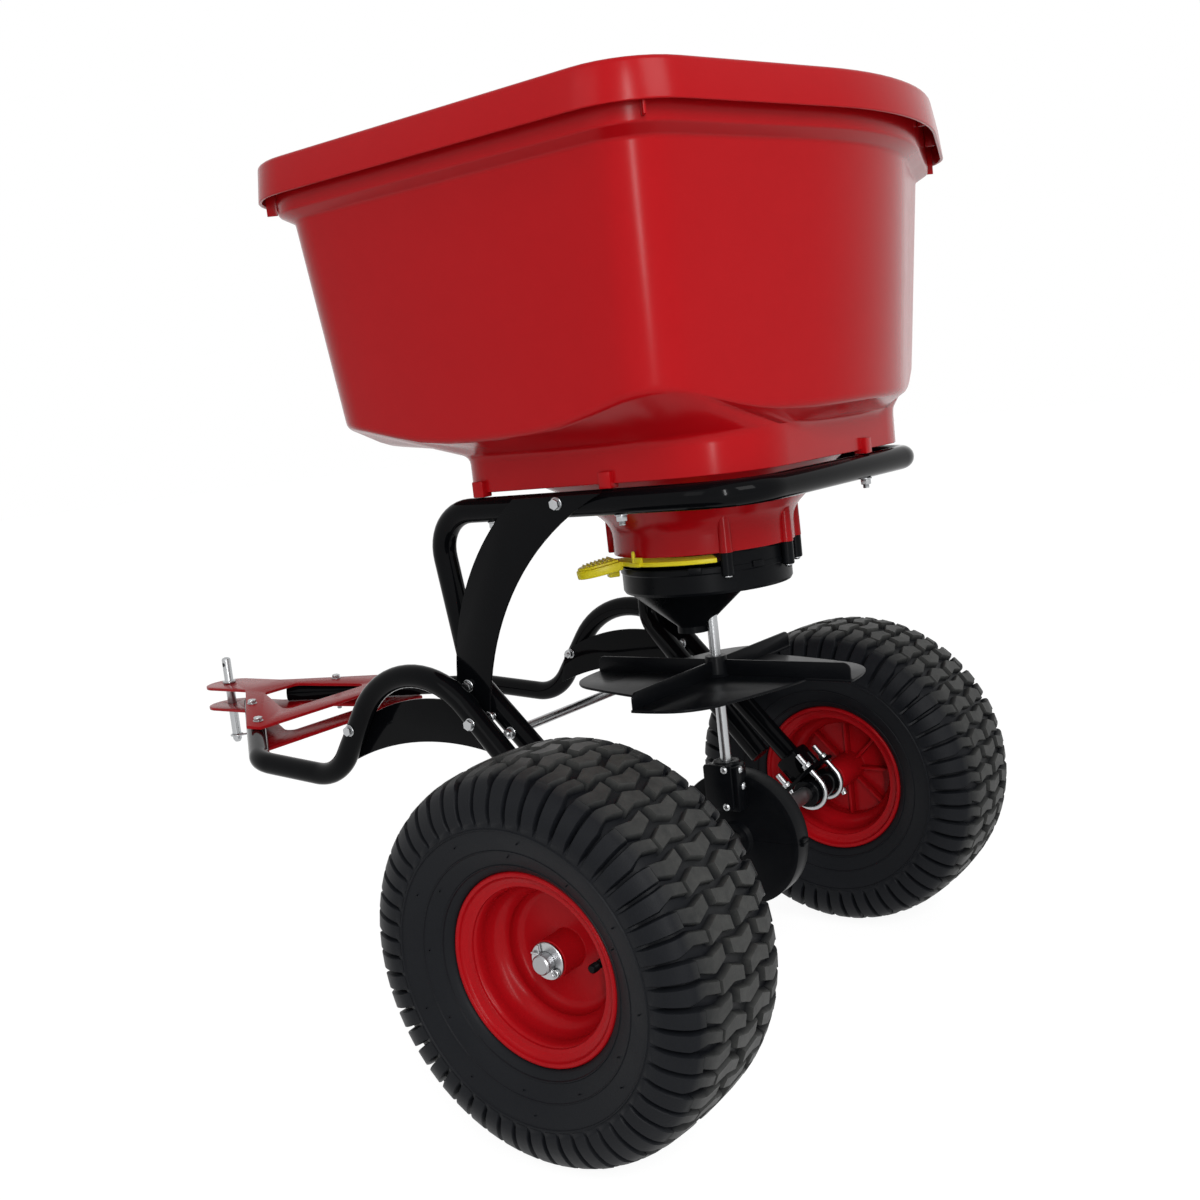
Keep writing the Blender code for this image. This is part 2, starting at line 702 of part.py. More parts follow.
def build_column(side, word):
    """Curved plate that braces the hoop's side run to the hump of the drawbar."""
    top_z = HOOP_Z + TUBE_RADIUS
    front = arc_through((COLUMN_TOP_FRONT_Y, top_z), (COLUMN_WAIST_FRONT_Y, COLUMN_WAIST_Z),
                        (COLUMN_HEEL_Y, COLUMN_HEEL_Z), 8)
    back = arc_through((COLUMN_TOE_Y, COLUMN_TOE_Z), (COLUMN_WAIST_REAR_Y, COLUMN_WAIST_Z),
                       (COLUMN_TOP_REAR_Y, top_z), 8)
    foot_x = COLUMN_FOOT_X - COLUMN_FOOT_Z * math.tan(COLUMN_TILT)
    side_plate(f"column_plate_{word}", front + back, COLUMN_THICKNESS, side * foot_x, side * COLUMN_TILT)


def build_axle_seat(side, word):
    """Axle sleeve with the saddle plate at the foot of the drawbar and two U-bolts."""
    bore = AXLE_RADIUS + RUN_GAP
    half = SLEEVE_LENGTH / 2
    turned(f"axle_sleeve_{word}", ring_profile(bore, SLEEVE_RADIUS, -half, half), BLACK_PAINT,
           along_x=True, location=(side * DRAWBAR_X, 0, 0))
    loop = SLEEVE_RADIUS + U_BOLT_RADIUS + SEAT_GAP
    saddle_z = SLEEVE_RADIUS + SEAT_GAP + SADDLE_THICKNESS / 2
    tilt = (LEG_TILT, 0, 0)
    saddle = place(f"saddle_{word}", boxes("saddle", [
        sized((0, 0, saddle_z), (SADDLE_LENGTH, SADDLE_WIDTH, SADDLE_THICKNESS))]), BLACK_PAINT,
        (side * DRAWBAR_X, 0, 0), tilt)
    hole = U_BOLT_RADIUS + SEAT_GAP
    holes = cylinders("saddle_holes", [
        (hole, 4 * SADDLE_THICKNESS, Matrix.Translation((x, y, saddle_z)))
        for x in (-U_BOLT_SPREAD, U_BOLT_SPREAD) for y in (-loop, loop)], 12)
    combine(saddle, place("saddle_holes", holes, BLACK_PAINT, (side * DRAWBAR_X, 0, 0), tilt), "DIFFERENCE")
    bend = [Vector((0, loop * math.cos(t), loop * math.sin(t)))
            for t in (math.pi + math.pi * i / 8 for i in range(9))]
    path = [Vector((0, -loop, U_BOLT_LEG)), *bend, Vector((0, loop, U_BOLT_LEG))]
    for place_word, shift in (("inner", -side * U_BOLT_SPREAD), ("outer", side * U_BOLT_SPREAD)):
        wire(f"u_bolt_{word}_{place_word}", path, U_BOLT_RADIUS, ZINC, resolution=2,
             location=(side * DRAWBAR_X + shift, 0, 0), rotation=tilt)


# Hitch

def hitch_outline():
    """A-shaped plate: round tongue, two arms over the tubes and a rear cross bar."""
    turns = [math.pi * (1 + i / 12) for i in range(13)]
    nose = [(TONGUE_HALF * math.cos(t), PIN_Y + TONGUE_HALF * math.sin(t)) for t in turns]
    right = [
        (TONGUE_HALF, FOLD_Y),
        (DRAWBAR_TIP_X + ARM_MARGIN, DRAWBAR_TIP_Y),
        (ARM_OUTER_X, ARM_REAR_Y - ARM_CHAMFER),
        (ARM_OUTER_X - 0.3 * ARM_CHAMFER, ARM_REAR_Y),
    ]
    left = [(-x, y) for x, y in reversed(right)]
    return nose + right + left


def build_hitch():
    window = [(-WINDOW_FRONT_HALF, WINDOW_FRONT_Y), (WINDOW_FRONT_HALF, WINDOW_FRONT_Y),
              (WINDOW_HALF, WINDOW_REAR_Y), (-WINDOW_HALF, WINDOW_REAR_Y)]
    pin_hole = circle((0.0, PIN_Y), PIN_RADIUS + RUN_GAP)
    for word, sign in (("upper", 1), ("lower", -1)):
        plate = to_mesh(flat_plate(f"hitch_plate_{word}", [hitch_outline(), pin_hole, window],
                                   PLATE_THICKNESS, RED_PAINT, (0, 0, TONGUE_Z + sign * PLATE_OFFSET)))
        fold_plate(plate.data)
    build_pin()


def fold_plate(mesh):
    """Bend the arms down along the fold line behind the tongue."""
    form = bmesh.new()
    form.from_mesh(mesh)
    geometry = form.verts[:] + form.edges[:] + form.faces[:]
    bmesh.ops.bisect_plane(form, geom=geometry, plane_co=(0, FOLD_Y, 0), plane_no=(0, 1, 0))
    for vert in form.verts:
        if vert.co.y > FOLD_Y:
            vert.co.z -= FOLD_SLOPE * (vert.co.y - FOLD_Y)
    form.to_mesh(mesh)
    form.free()


def build_pin():
    """Hitch pin with a collar on the upper plate, a pull ring, and a hairpin clip below."""
    seat = TONGUE_Z + PLATE_OFFSET + PLATE_THICKNESS / 2 + SEAT_GAP
    top = PIN_TOP_Z - 2 * PIN_RING_RADIUS - PIN_RING_WIRE
    profile = [(0, top), (PIN_RADIUS, top), (PIN_RADIUS, seat + PIN_COLLAR_HEIGHT),
               (PIN_COLLAR_RADIUS, seat + PIN_COLLAR_HEIGHT), (PIN_COLLAR_RADIUS, seat), (PIN_RADIUS, seat),
               (PIN_RADIUS, PIN_BOTTOM_Z + 0.004), (0.6 * PIN_RADIUS, PIN_BOTTOM_Z), (0, PIN_BOTTOM_Z)]
    pin = turned("hitch_pin", profile, ZINC, steps=SMALL_ROUND, closed=False, location=(0, PIN_Y, 0))
    ring = [Vector((PIN_RING_RADIUS * math.cos(t), 0, PIN_RING_RADIUS * math.sin(t)))
            for t in (2 * math.pi * i / SMALL_ROUND for i in range(SMALL_ROUND))]
    ring_z = top + PIN_RING_RADIUS
    combine(pin, to_mesh(wire("pin_ring", ring, PIN_RING_WIRE, ZINC, closed=True, resolution=2,
                              location=(0, PIN_Y, ring_z))), "UNION")
    reach = PIN_RADIUS + CLIP_WIRE + SEAT_GAP
    loop = [Vector((reach * math.cos(t), reach * math.sin(t), 0))
            for t in (math.radians(120 + 300 * i / 14) for i in range(15))]
    tail = [Vector((loop[-1].x - 0.026, loop[-1].y + 0.015, 0))]
    wire("hitch_clip", loop + tail, CLIP_WIRE, ZINC, resolution=2, location=(0, PIN_Y, CLIP_Z))


# Wheels and axle

def tyre_profile():
    """Horseshoe section from bead to bead. Heights run along the axle."""
    half = TYRE_WIDTH / 2
    bead = RIM_WIDTH / 2 - FLANGE_LIP - SEAT_GAP
    seat = RIM_SEAT_RADIUS + SEAT_GAP
    flange = RIM_FLANGE_RADIUS + SEAT_GAP
    crown = TYRE_RADIUS
    outer = [(crown, 0.0), (crown - 0.001, 0.35 * half), (crown - 0.45 * TREAD_DROP, 0.66 * half),
             (crown - 1.6 * TREAD_DROP, 0.88 * half), (crown - 0.40 * (crown - flange), half),
             (crown - 0.72 * (crown - flange), 0.92 * half), (flange, bead + 0.9 * FLANGE_LIP),
             (flange, bead)]
    inner = [(seat, bead), (seat, bead - 2 * TYRE_WALL), (flange + TYRE_WALL, bead - TYRE_WALL),
             (crown - 0.40 * (crown - flange), half - TYRE_WALL),
             (crown - TREAD_DROP - 1.6 * TYRE_WALL, 0.76 * half - TYRE_WALL), (crown - 1.6 * TYRE_WALL, 0.0)]
    lower_outer = [(radius, -height) for radius, height in outer[:0:-1]]
    upper_outer = [(radius, height) for radius, height in outer]
    lower_inner = [(radius, -height) for radius, height in inner]
    upper_inner = [(radius, height) for radius, height in inner[-2::-1]]
    return upper_outer[::-1] + lower_outer[::-1] + lower_inner + upper_inner


def wheel_profile():
    """Pressed steel wheel: flanges, bead seats, drop well, dished disc and hub tube."""
    half = RIM_WIDTH / 2
    wall = RIM_WALL
    flange, seat, well = RIM_FLANGE_RADIUS, RIM_SEAT_RADIUS, RIM_WELL_RADIUS
    bore = AXLE_RADIUS + RUN_GAP
    seat_end = 0.55 * half
    disc = DISC_OFFSET
    bowl = BOWL_RADIUS
    return [
        (flange, half), (flange, half - FLANGE_LIP), (seat, half - FLANGE_LIP),
        (seat, seat_end), (well, 0.28 * half), (well, -0.28 * half), (seat, -seat_end),
        (seat, -half + FLANGE_LIP), (flange, -half + FLANGE_LIP), (flange, -half),
        (flange - FLANGE_EDGE, -half), (seat - wall, -half + 0.7 * FLANGE_LIP),
        (seat - wall, -seat_end), (well - wall, -0.28 * half - wall / 2),
        (well - wall, disc - wall), (HUB_RADIUS, disc - wall), (HUB_RADIUS, -HUB_INNER_REACH),
        (bore, -HUB_INNER_REACH), (bore, HUB_OUTER_REACH), (HUB_RADIUS, HUB_OUTER_REACH),
        (HUB_RADIUS, disc), (well - wall - bowl, disc), (well - wall - 0.3 * bowl, disc + 0.3 * bowl),
        (well - wall, disc + bowl), (well - wall, 0.28 * half + wall / 2), (seat - wall, seat_end),
        (seat - wall, half - 0.7 * FLANGE_LIP), (flange - FLANGE_EDGE, half),
    ]


def build_wheel(side, word):
    location = (side * WHEEL_X, 0, 0)
    tyre = turned(f"tyre_{word}", tyre_profile(), RUBBER, FINE_ROUND, along_x=True, location=location)
    profile = [(radius, side * height) for radius, height in wheel_profile()]
    if side < 0:
        profile.reverse()
    wheel = turned(f"wheel_{word}", profile, RED_PAINT, FINE_ROUND, along_x=True, location=location)
    rib_inner = HUB_RADIUS - 0.002
    rib_outer = RIM_WELL_RADIUS - RIM_WALL / 2
    rib_center = (rib_inner + rib_outer) / 2
    lift = side * (DISC_OFFSET - RIM_WALL / 2 - RIB_DEPTH / 2)
    ribs = boxes("wheel_ribs", [
        Matrix.Rotation(2 * math.pi * i / WHEEL_RIBS, 4, "Z")
        @ sized((rib_center, 0, lift), (rib_outer - rib_inner, RIB_THICKNESS, RIB_DEPTH))
        for i in range(WHEEL_RIBS)])
    combine(wheel, place("wheel_ribs", ribs, RED_PAINT, location, (0, math.pi / 2, 0)), "UNION")
    valve_x = side * (WHEEL_X + DISC_OFFSET + SEAT_GAP + VALVE_LENGTH / 2)
    valve_spot = polar(VALVE_CIRCLE, VALVE_TURN)
    valve = cylinders("valve", [(VALVE_RADIUS, VALVE_LENGTH, Matrix.Rotation(math.pi / 2, 4, "Y"))], 12)
    place(f"valve_{word}", valve, BLACK_PLASTIC, (valve_x, valve_spot.x, valve_spot.y))
    return tyre


def build_axle():
    hub_face = WHEEL_X + HUB_OUTER_REACH
    end = hub_face + AXLE_END_REACH
    axle = cylinders("axle", [(AXLE_RADIUS, 2 * end, Matrix.Rotation(math.pi / 2, 4, "Y"))], ROUND)
    axle = place("axle", axle, STEEL)
    cotter_x = hub_face + WASHER_THICKNESS + 2 * SEAT_GAP + COTTER_RADIUS
    pin_x = -(WHEEL_X - HUB_INNER_REACH + 0.014)
    cotter_turn = Matrix.Rotation(math.radians(COTTER_TILT), 4, "X")
    drive_turn = Matrix.Rotation(math.radians(DRIVE_PIN_TILT), 4, "X")
    holes = [(COTTER_RADIUS + SEAT_GAP, 4 * AXLE_RADIUS,
              Matrix.Translation((side * cotter_x, 0, 0)) @ cotter_turn) for side in (1, -1)]
    holes.append((DRIVE_PIN_RADIUS + SEAT_GAP, 4 * AXLE_RADIUS,
                  Matrix.Translation((pin_x, 0, 0)) @ drive_turn))
    combine(axle, place("axle_holes", cylinders("axle_holes", holes, 12), STEEL), "DIFFERENCE")
    for side, word in ((1, "left"), (-1, "right")):
        inner = hub_face + SEAT_GAP
        half = WASHER_THICKNESS / 2
        washer = ring_profile(AXLE_RADIUS + SEAT_GAP, WASHER_RADIUS, -half, half)
        turned(f"washer_{word}", washer, ZINC, along_x=True,
               location=(side * (inner + half), 0, 0))
        cotter = cylinders("cotter", [(COTTER_RADIUS, COTTER_LENGTH, cotter_turn)], 12)
        place(f"cotter_{word}", cotter, ZINC, (side * cotter_x, 0, 0))
    drive = cylinders("drive_pin", [(DRIVE_PIN_RADIUS, DRIVE_PIN_LENGTH, drive_turn)], 12)
    place("drive_pin", drive, ZINC, (pin_x, 0, 0))
    wheel = bpy.data.objects["wheel_right"]
    hole = cylinders("drive_hole", [(DRIVE_PIN_RADIUS + SEAT_GAP, 4 * HUB_RADIUS, drive_turn)], 12)
    combine(wheel, place("drive_hole", hole, RED_PAINT, (pin_x, 0, 0)), "DIFFERENCE")


# Drive

def build_crown_gear():
    """Crown gear on the axle. Its teeth face the pinion on the impeller shaft."""
    face, tip = CROWN_FACE_X, CROWN_TIP_X
    outer = CROWN_PITCH_RADIUS + TOOTH_WIDTH / 2
    bore = AXLE_RADIUS + SEAT_GAP
    profile = [(outer, face), (outer, face - CROWN_DISC), (CROWN_HUB_RADIUS, face - CROWN_DISC),
               (CROWN_HUB_RADIUS, CROWN_END_X), (bore, CROWN_END_X), (bore, face)]
    gear = turned("crown_gear", profile, STEEL, FINE_ROUND, along_x=True)
    thickness = TOOTH_SHARE * 2 * math.pi * CROWN_PITCH_RADIUS / CROWN_TEETH
    root = face - CROWN_DISC / 2
    teeth = boxes("crown_teeth", [
        Matrix.Rotation(2 * math.pi * i / CROWN_TEETH, 4, "X")
        @ sized(((tip + root) / 2, 0, CROWN_PITCH_RADIUS), (tip - root, thickness, TOOTH_WIDTH - 0.001))
        for i in range(CROWN_TEETH)])
    return combine(gear, place("crown_teeth", teeth, STEEL), "UNION")


def build_pinion():
    root = PINION_PITCH_RADIUS - TOOTH_DEPTH / 2
    tip = PINION_PITCH_RADIUS + TOOTH_DEPTH / 2
    half = TOOTH_WIDTH / 2
    gear = turned("pinion", ring_profile(SHAFT_RADIUS + SEAT_GAP, root, -half, half), STEEL,
                  location=(0, 0, CROWN_PITCH_RADIUS))
    thickness = TOOTH_SHARE * 2 * math.pi * PINION_PITCH_RADIUS / PINION_TEETH
    inner = (root + SHAFT_RADIUS) / 2
    pitch = 2 * math.pi / PINION_TEETH
    teeth = boxes("pinion_teeth", [
        Matrix.Rotation(math.pi + pitch * (i + 0.5), 4, "Z")
        @ sized(((inner + tip) / 2, 0, 0), (tip - inner, thickness, TOOTH_WIDTH - 0.001))
        for i in range(PINION_TEETH)])
    return combine(gear, place("pinion_teeth", teeth, STEEL, (0, 0, CROWN_PITCH_RADIUS)), "UNION")


def build_gearbox():
    """Housing split at the axle: a thin drum round the crown gear and a column round the pinion."""
    far = CROWN_END_X - BOX_SIDE_GAP
    near = CROWN_TIP_X + BOX_SIDE_GAP
    middle = (far + near) / 2
    width = near - far + 2 * BOX_WALL
    big = 4 * BOX_FLANGE_HALF
    along = Matrix.Translation((middle, 0, 0)) @ Matrix.Rotation(math.pi / 2, 4, "Y")
    half_step = Matrix.Rotation(math.pi / FINE_ROUND, 4, "Z")
    outer = BOX_CAVITY_RADIUS + BOX_WALL
    for word, sign in (("upper", 1), ("lower", -1)):
        drum = cylinders("gearbox", [(outer, width, along @ half_step)], FINE_ROUND)
        shell = place(f"gearbox_{word}", drum, BLACK_PLASTIC)
        flange = boxes("gearbox_flange", [
            sized((middle, 0, 0), (width, 2 * BOX_FLANGE_HALF, 2 * BOX_FLANGE_THICKNESS))])
        combine(shell, place("gearbox_flange", flange, BLACK_PLASTIC), "UNION")
        if sign > 0:
            height = BOX_BOSS_TOP_Z - BOX_BOSS_BOTTOM_Z
            rise = Matrix.Translation((0, 0, BOX_BOSS_BOTTOM_Z + height / 2))
            column = cylinders("gearbox_column", [(BOX_BOSS_RADIUS, height, rise)], ROUND)
            combine(shell, place("gearbox_column", column, BLACK_PLASTIC), "UNION")
        cavity = cylinders("gearbox_cavity", [(BOX_CAVITY_RADIUS, near - far, along @ half_step)],
                           FINE_ROUND)
        combine(shell, place("gearbox_cavity", cavity, BLACK_PLASTIC), "DIFFERENCE")
        if sign > 0:
            at_pinion = Matrix.Translation((0, 0, CROWN_PITCH_RADIUS))
            room = cylinders("pinion_room", [(PINION_CAVITY_RADIUS, PINION_CAVITY_HEIGHT, at_pinion)],
                             ROUND)
            combine(shell, place("pinion_room", room, BLACK_PLASTIC), "DIFFERENCE")
            bore = cylinders("shaft_bore", [
                (SHAFT_RADIUS + RUN_GAP, big, Matrix.Translation((0, 0, CROWN_PITCH_RADIUS + big / 2)))])
            combine(shell, place("shaft_bore", bore, BLACK_PLASTIC), "DIFFERENCE")
        axle_step = Matrix.Rotation(math.pi / ROUND, 4, "Z")
        bores = cylinders("axle_bore", [(AXLE_RADIUS + RUN_GAP, 2 * width, along @ axle_step)], ROUND)
        combine(shell, place("axle_bore", bores, BLACK_PLASTIC), "DIFFERENCE")
        away = boxes("gearbox_away", [sized((0, 0, -sign * (big - SEAT_GAP) / 2), (big, big, big))])
        combine(shell, place("gearbox_away", away, BLACK_PLASTIC), "DIFFERENCE")


def build_impeller():
    """Pinwheel plate with four upright vanes on a hub."""
    quarter = 360.0 / IMPELLER_VANES
    outline = []
    for vane in range(IMPELLER_VANES):
        for angle, share in IMPELLER_EDGE:
            reach = IMPELLER_WAIST + (IMPELLER_REACH - IMPELLER_WAIST) * share
            spot = polar(reach, vane * quarter + angle)
            outline.append((spot.x, spot.y))
    middle = IMPELLER_Z + IMPELLER_THICKNESS / 2
    plate = to_mesh(flat_plate("impeller", [outline], IMPELLER_THICKNESS, BLACK_PLASTIC, (0, 0, middle)))
    inner = IMPELLER_HUB_RADIUS / 2
    reach = IMPELLER_REACH - 0.001
    height = VANE_HEIGHT + IMPELLER_THICKNESS / 2
    vanes = boxes("impeller_vanes", [
        Matrix.Rotation(math.radians(vane * quarter - 1.2), 4, "Z")
        @ sized(((inner + reach) / 2, 0, height / 2), (reach - inner, VANE_THICKNESS, height))
        for vane in range(IMPELLER_VANES)])
    combine(plate, place("impeller_vanes", vanes, BLACK_PLASTIC, (0, 0, middle)), "UNION")
    hub_length = IMPELLER_HUB_TOP_Z - IMPELLER_HUB_BOTTOM_Z
    hub_z = (IMPELLER_HUB_TOP_Z + IMPELLER_HUB_BOTTOM_Z) / 2
    hub = cylinders("impeller_hub", [(IMPELLER_HUB_RADIUS, hub_length, Matrix.Identity(4))], ROUND)
    combine(plate, place("impeller_hub", hub, BLACK_PLASTIC, (0, 0, hub_z)), "UNION")
    bore = cylinders("impeller_bore", [(SHAFT_RADIUS + SEAT_GAP, 3 * hub_length, Matrix.Identity(4))])
    return combine(plate, place("impeller_bore", bore, BLACK_PLASTIC, (0, 0, hub_z)), "DIFFERENCE")


def build_shaft():
    length = SHAFT_TOP_Z - SHAFT_BOTTOM_Z
    shaft = cylinders("impeller_shaft", [(SHAFT_RADIUS, length, Matrix.Identity(4))])
    place("impeller_shaft", shaft, ZINC, (0, 0, SHAFT_BOTTOM_Z + length / 2))
    hub = turned("agitator", ring_profile(SHAFT_RADIUS + SEAT_GAP, AGITATOR_RADIUS, -AGITATOR_HEIGHT / 2,
                                          AGITATOR_HEIGHT / 2), STEEL, location=(0, 0, AGITATOR_Z))
    inner = (SHAFT_RADIUS + AGITATOR_RADIUS) / 2
    arm = AGITATOR_ARM - inner
    arms = cylinders("agitator_arms", [
        (AGITATOR_WIRE, arm, Matrix.Rotation(turn, 4, "Z") @ Matrix.Translation((inner + arm / 2, 0, 0))
         @ Matrix.Rotation(math.pi / 2, 4, "Y")) for turn in (0.0, math.pi)], 12)
    combine(hub, place("agitator_arms", arms, STEEL, (0, 0, AGITATOR_Z)), "UNION")


# Metering base

def ports(name, turn):
    """Cutters for the ports in the floor, or in the gate when it is turned away from them."""
    return cylinders(name, [
        (PORT_RADIUS, 4 * BASE_WALL, Matrix.Translation(polar(PORT_CENTRE, azimuth + turn)))
        for azimuth in PORT_AZIMUTHS])


def build_base():
    """Black base: rim, floor with ports, collar that guides the gate, and a chute off to the front."""
    floor = BASE_TOP_Z - BASE_WALL
    rim_bottom = BASE_TOP_Z - BASE_RIM_HEIGHT
    collar_top = BASE_TOP_Z + GATE_LIFT + GATE_THICKNESS + SEAT_GAP
    seat = BASE_TOP_Z + GATE_LIFT - SEAT_GAP
    pad = COLLAR_RADIUS + 0.006
    bore = SHAFT_RADIUS + RUN_GAP
    profile = [
        (0, collar_top), (COLLAR_RADIUS, collar_top), (COLLAR_RADIUS, seat), (pad, seat), (pad, BASE_TOP_Z),
        (BASE_RADIUS, BASE_TOP_Z), (BASE_RADIUS, rim_bottom), (0, rim_bottom),
    ]
    base = turned("base_housing", profile, BLACK_PLASTIC, FINE_ROUND, closed=False)
    chute_z = (rim_bottom + CHUTE_BOTTOM_Z) / 2
    chute = Matrix.Translation((0, CHUTE_Y, chute_z))
    overlap = 0.001
    depth = rim_bottom - CHUTE_BOTTOM_Z
    outside = cone("chute_outside", CHUTE_BOTTOM_RADIUS, CHUTE_TOP_RADIUS, depth + overlap,
                   chute @ Matrix.Translation((0, 0, overlap / 2)))
    combine(base, place("chute_outside", outside, BLACK_PLASTIC), "UNION")
    guide_height = floor - SHAFT_GUIDE_Z
    guide = cylinders("shaft_guide", [
        (SHAFT_GUIDE_RADIUS, guide_height, Matrix.Translation((0, 0, SHAFT_GUIDE_Z + guide_height / 2)))])
    inside = cone("chute_inside", CHUTE_BOTTOM_RADIUS - BASE_WALL, CHUTE_TOP_RADIUS - BASE_WALL, depth,
                  chute)
    inner_height = floor - rim_bottom
    drum = cylinders("chute_drum", [
        (CHUTE_TOP_RADIUS - BASE_WALL, inner_height + overlap,
         Matrix.Translation((0, CHUTE_Y, floor - (inner_height + overlap) / 2)))], ROUND)
    funnel = place("chute_inside", inside, BLACK_PLASTIC)
    combine(funnel, place("chute_drum", drum, BLACK_PLASTIC), "UNION")
    mouth = Matrix.Translation((0, CHUTE_Y, CHUTE_BOTTOM_Z))
    open_end = cylinders("chute_open_end", [(CHUTE_BOTTOM_RADIUS - BASE_WALL, 4 * BASE_WALL, mouth)], ROUND)
    combine(funnel, place("chute_open_end", open_end, BLACK_PLASTIC), "UNION")
    combine(base, funnel, "DIFFERENCE")
    combine(base, place("shaft_guide", guide, BLACK_PLASTIC), "UNION")
    shaft_way = cylinders("shaft_way", [
        (bore, 4 * depth, Matrix.Translation((0, 0, rim_bottom)))])
    combine(base, place("shaft_way", shaft_way, BLACK_PLASTIC), "DIFFERENCE")
    holes = ports("base_ports", 0.0)
    combine(base, place("base_ports", holes, BLACK_PLASTIC, (0, 0, floor + BASE_WALL / 2)), "DIFFERENCE")
    boss_bottom = BASE_TOP_Z - 0.6 * BASE_RIM_HEIGHT
    bosses = ring_bosses("base_bosses", boss_bottom, NECK_BOTTOM_Z - SEAT_GAP - boss_bottom)
    return combine(base, place("base_bosses", bosses, BLACK_PLASTIC), "UNION")


def cone(name, bottom_radius, top_radius, depth, matrix):
    form = bmesh.new()
    bmesh.ops.create_cone(form, cap_ends=True, segments=ROUND, radius1=bottom_radius, radius2=top_radius,
                          depth=depth, matrix=matrix)
    mesh = mesh_from(form, name)
    smooth(mesh)
    return mesh


def build_gate():
    """Gate disc that turns round the base's collar, and the lever fixed on top of it."""
    gate_z = BASE_TOP_Z + GATE_LIFT
    gate = turned("gate_disc", ring_profile(COLLAR_RADIUS + RUN_GAP, GATE_RADIUS, 0.0, GATE_THICKNESS),
                  BLACK_PLASTIC, FINE_ROUND, location=(0, 0, gate_z))
    holes = ports("gate_ports", GATE_TURN)
    middle = gate_z + GATE_THICKNESS / 2
    combine(gate, place("gate_ports", holes, BLACK_PLASTIC, (0, 0, middle)), "DIFFERENCE")
    wide = LEVER_GRIP_HALF
    edge = math.degrees(math.asin(wide / LEVER_OUTER_RADIUS))
    inner = [polar(LEVER_INNER_RADIUS, LEVER_SWEEP - (LEVER_SWEEP + edge) * i / 12) for i in range(13)]
    turns = [-math.pi / 2 + math.pi * i / 10 for i in range(11)]
    grip = [Vector((LEVER_REACH - wide * 0.6 + wide * 0.6 * math.cos(t), wide * math.sin(t))) for t in turns]
    root = Vector((LEVER_OUTER_RADIUS * math.cos(math.radians(edge)), -wide))
    outer = [polar(LEVER_OUTER_RADIUS, edge + (LEVER_SWEEP - edge) * i / 10) for i in range(11)]
    lever_z = gate_z + GATE_THICKNESS + SEAT_GAP + LEVER_THICKNESS / 2
    flat_plate("rate_lever", [inner + [root] + grip + outer], LEVER_THICKNESS, YELLOW_PLASTIC,
               (0, 0, lever_z), (0, 0, math.radians(LEVER_AZIMUTH)))


build_hopper()
build_frame()
build_hitch()
for wheel_side, wheel_word in ((1, "left"), (-1, "right")):
    build_wheel(wheel_side, wheel_word)
build_axle()
build_crown_gear()
build_pinion()
build_gearbox()
build_shaft()
build_impeller()
build_base()
build_gate()
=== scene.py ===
"""Looks of a tow behind broadcast spreader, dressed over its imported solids.

All shapes are drawn in metres from the centre of the axle: X to the spreader's left, Y to the rear and
Z up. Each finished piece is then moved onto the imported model's own axle.
"""

import logging
import math
from collections.abc import Callable
from dataclasses import dataclass, field
from enum import Enum
from math import cos, pi, radians, sin

import bmesh
import bpy
from mathutils import Matrix, Vector


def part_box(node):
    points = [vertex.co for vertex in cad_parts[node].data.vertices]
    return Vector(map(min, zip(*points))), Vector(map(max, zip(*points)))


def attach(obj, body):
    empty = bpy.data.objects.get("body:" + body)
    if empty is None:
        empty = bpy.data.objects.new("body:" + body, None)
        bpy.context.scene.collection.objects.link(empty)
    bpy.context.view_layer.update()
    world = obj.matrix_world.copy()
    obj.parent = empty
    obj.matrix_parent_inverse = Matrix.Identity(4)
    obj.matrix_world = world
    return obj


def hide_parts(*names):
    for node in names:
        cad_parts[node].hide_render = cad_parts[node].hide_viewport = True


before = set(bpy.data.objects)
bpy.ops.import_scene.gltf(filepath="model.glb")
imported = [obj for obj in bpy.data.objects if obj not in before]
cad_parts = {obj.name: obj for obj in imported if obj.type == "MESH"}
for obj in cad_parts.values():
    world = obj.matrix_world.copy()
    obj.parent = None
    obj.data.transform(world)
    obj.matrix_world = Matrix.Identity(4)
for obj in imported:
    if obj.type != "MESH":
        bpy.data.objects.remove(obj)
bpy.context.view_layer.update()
AXLE = sum(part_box("axle"), Vector()) / 2
LOG = logging.getLogger("spreader")

Color = tuple[float, float, float]
Size = tuple[float, float, float]
Spot = tuple[float, float]
Piece = bpy.types.Object
Socket = bpy.types.NodeSocket
Walk = list[tuple[Vector, Vector]]

AXLE_RADIUS = 0.0095
SHAFT_RADIUS = 0.006
FIT = 0.0003  # play between pieces that sit in or on each other
MERGE = 0.000002  # points closer than this become one
QUARTER = [pi / 2 * i / 6 for i in range(7)]  # turns of a quarter round
UPRIGHT = Matrix(((0, 0, 1, 0), (1, 0, 0, 0), (0, 1, 0, 0), (0, 0, 0, 1)))  # a drawing's X and Y as Y and Z
COLOR, VALUE, NORMAL = "NodeSocketColor", "NodeSocketFloat", "NodeSocketVector"
WHITE = (1.0, 1.0, 1.0, 1.0)
LEFT_RIGHT = ((1, "left"), (-1, "right"))


class Axis(Enum):
    """Line that a turned piece spins about, with the direction its radius is drawn in."""

    X = ((1.0, 0.0, 0.0), (0.0, 0.0, 1.0))
    Z = ((0.0, 0.0, 1.0), (1.0, 0.0, 0.0))


class Grain(Enum):
    """Fine relief of a finish."""

    PEEL = "orange peel of sprayed or moulded gloss"
    PEBBLE = "fine pebble of moulded nylon and rubber"
    BRUSHED = "turning marks and plating streaks on metal"


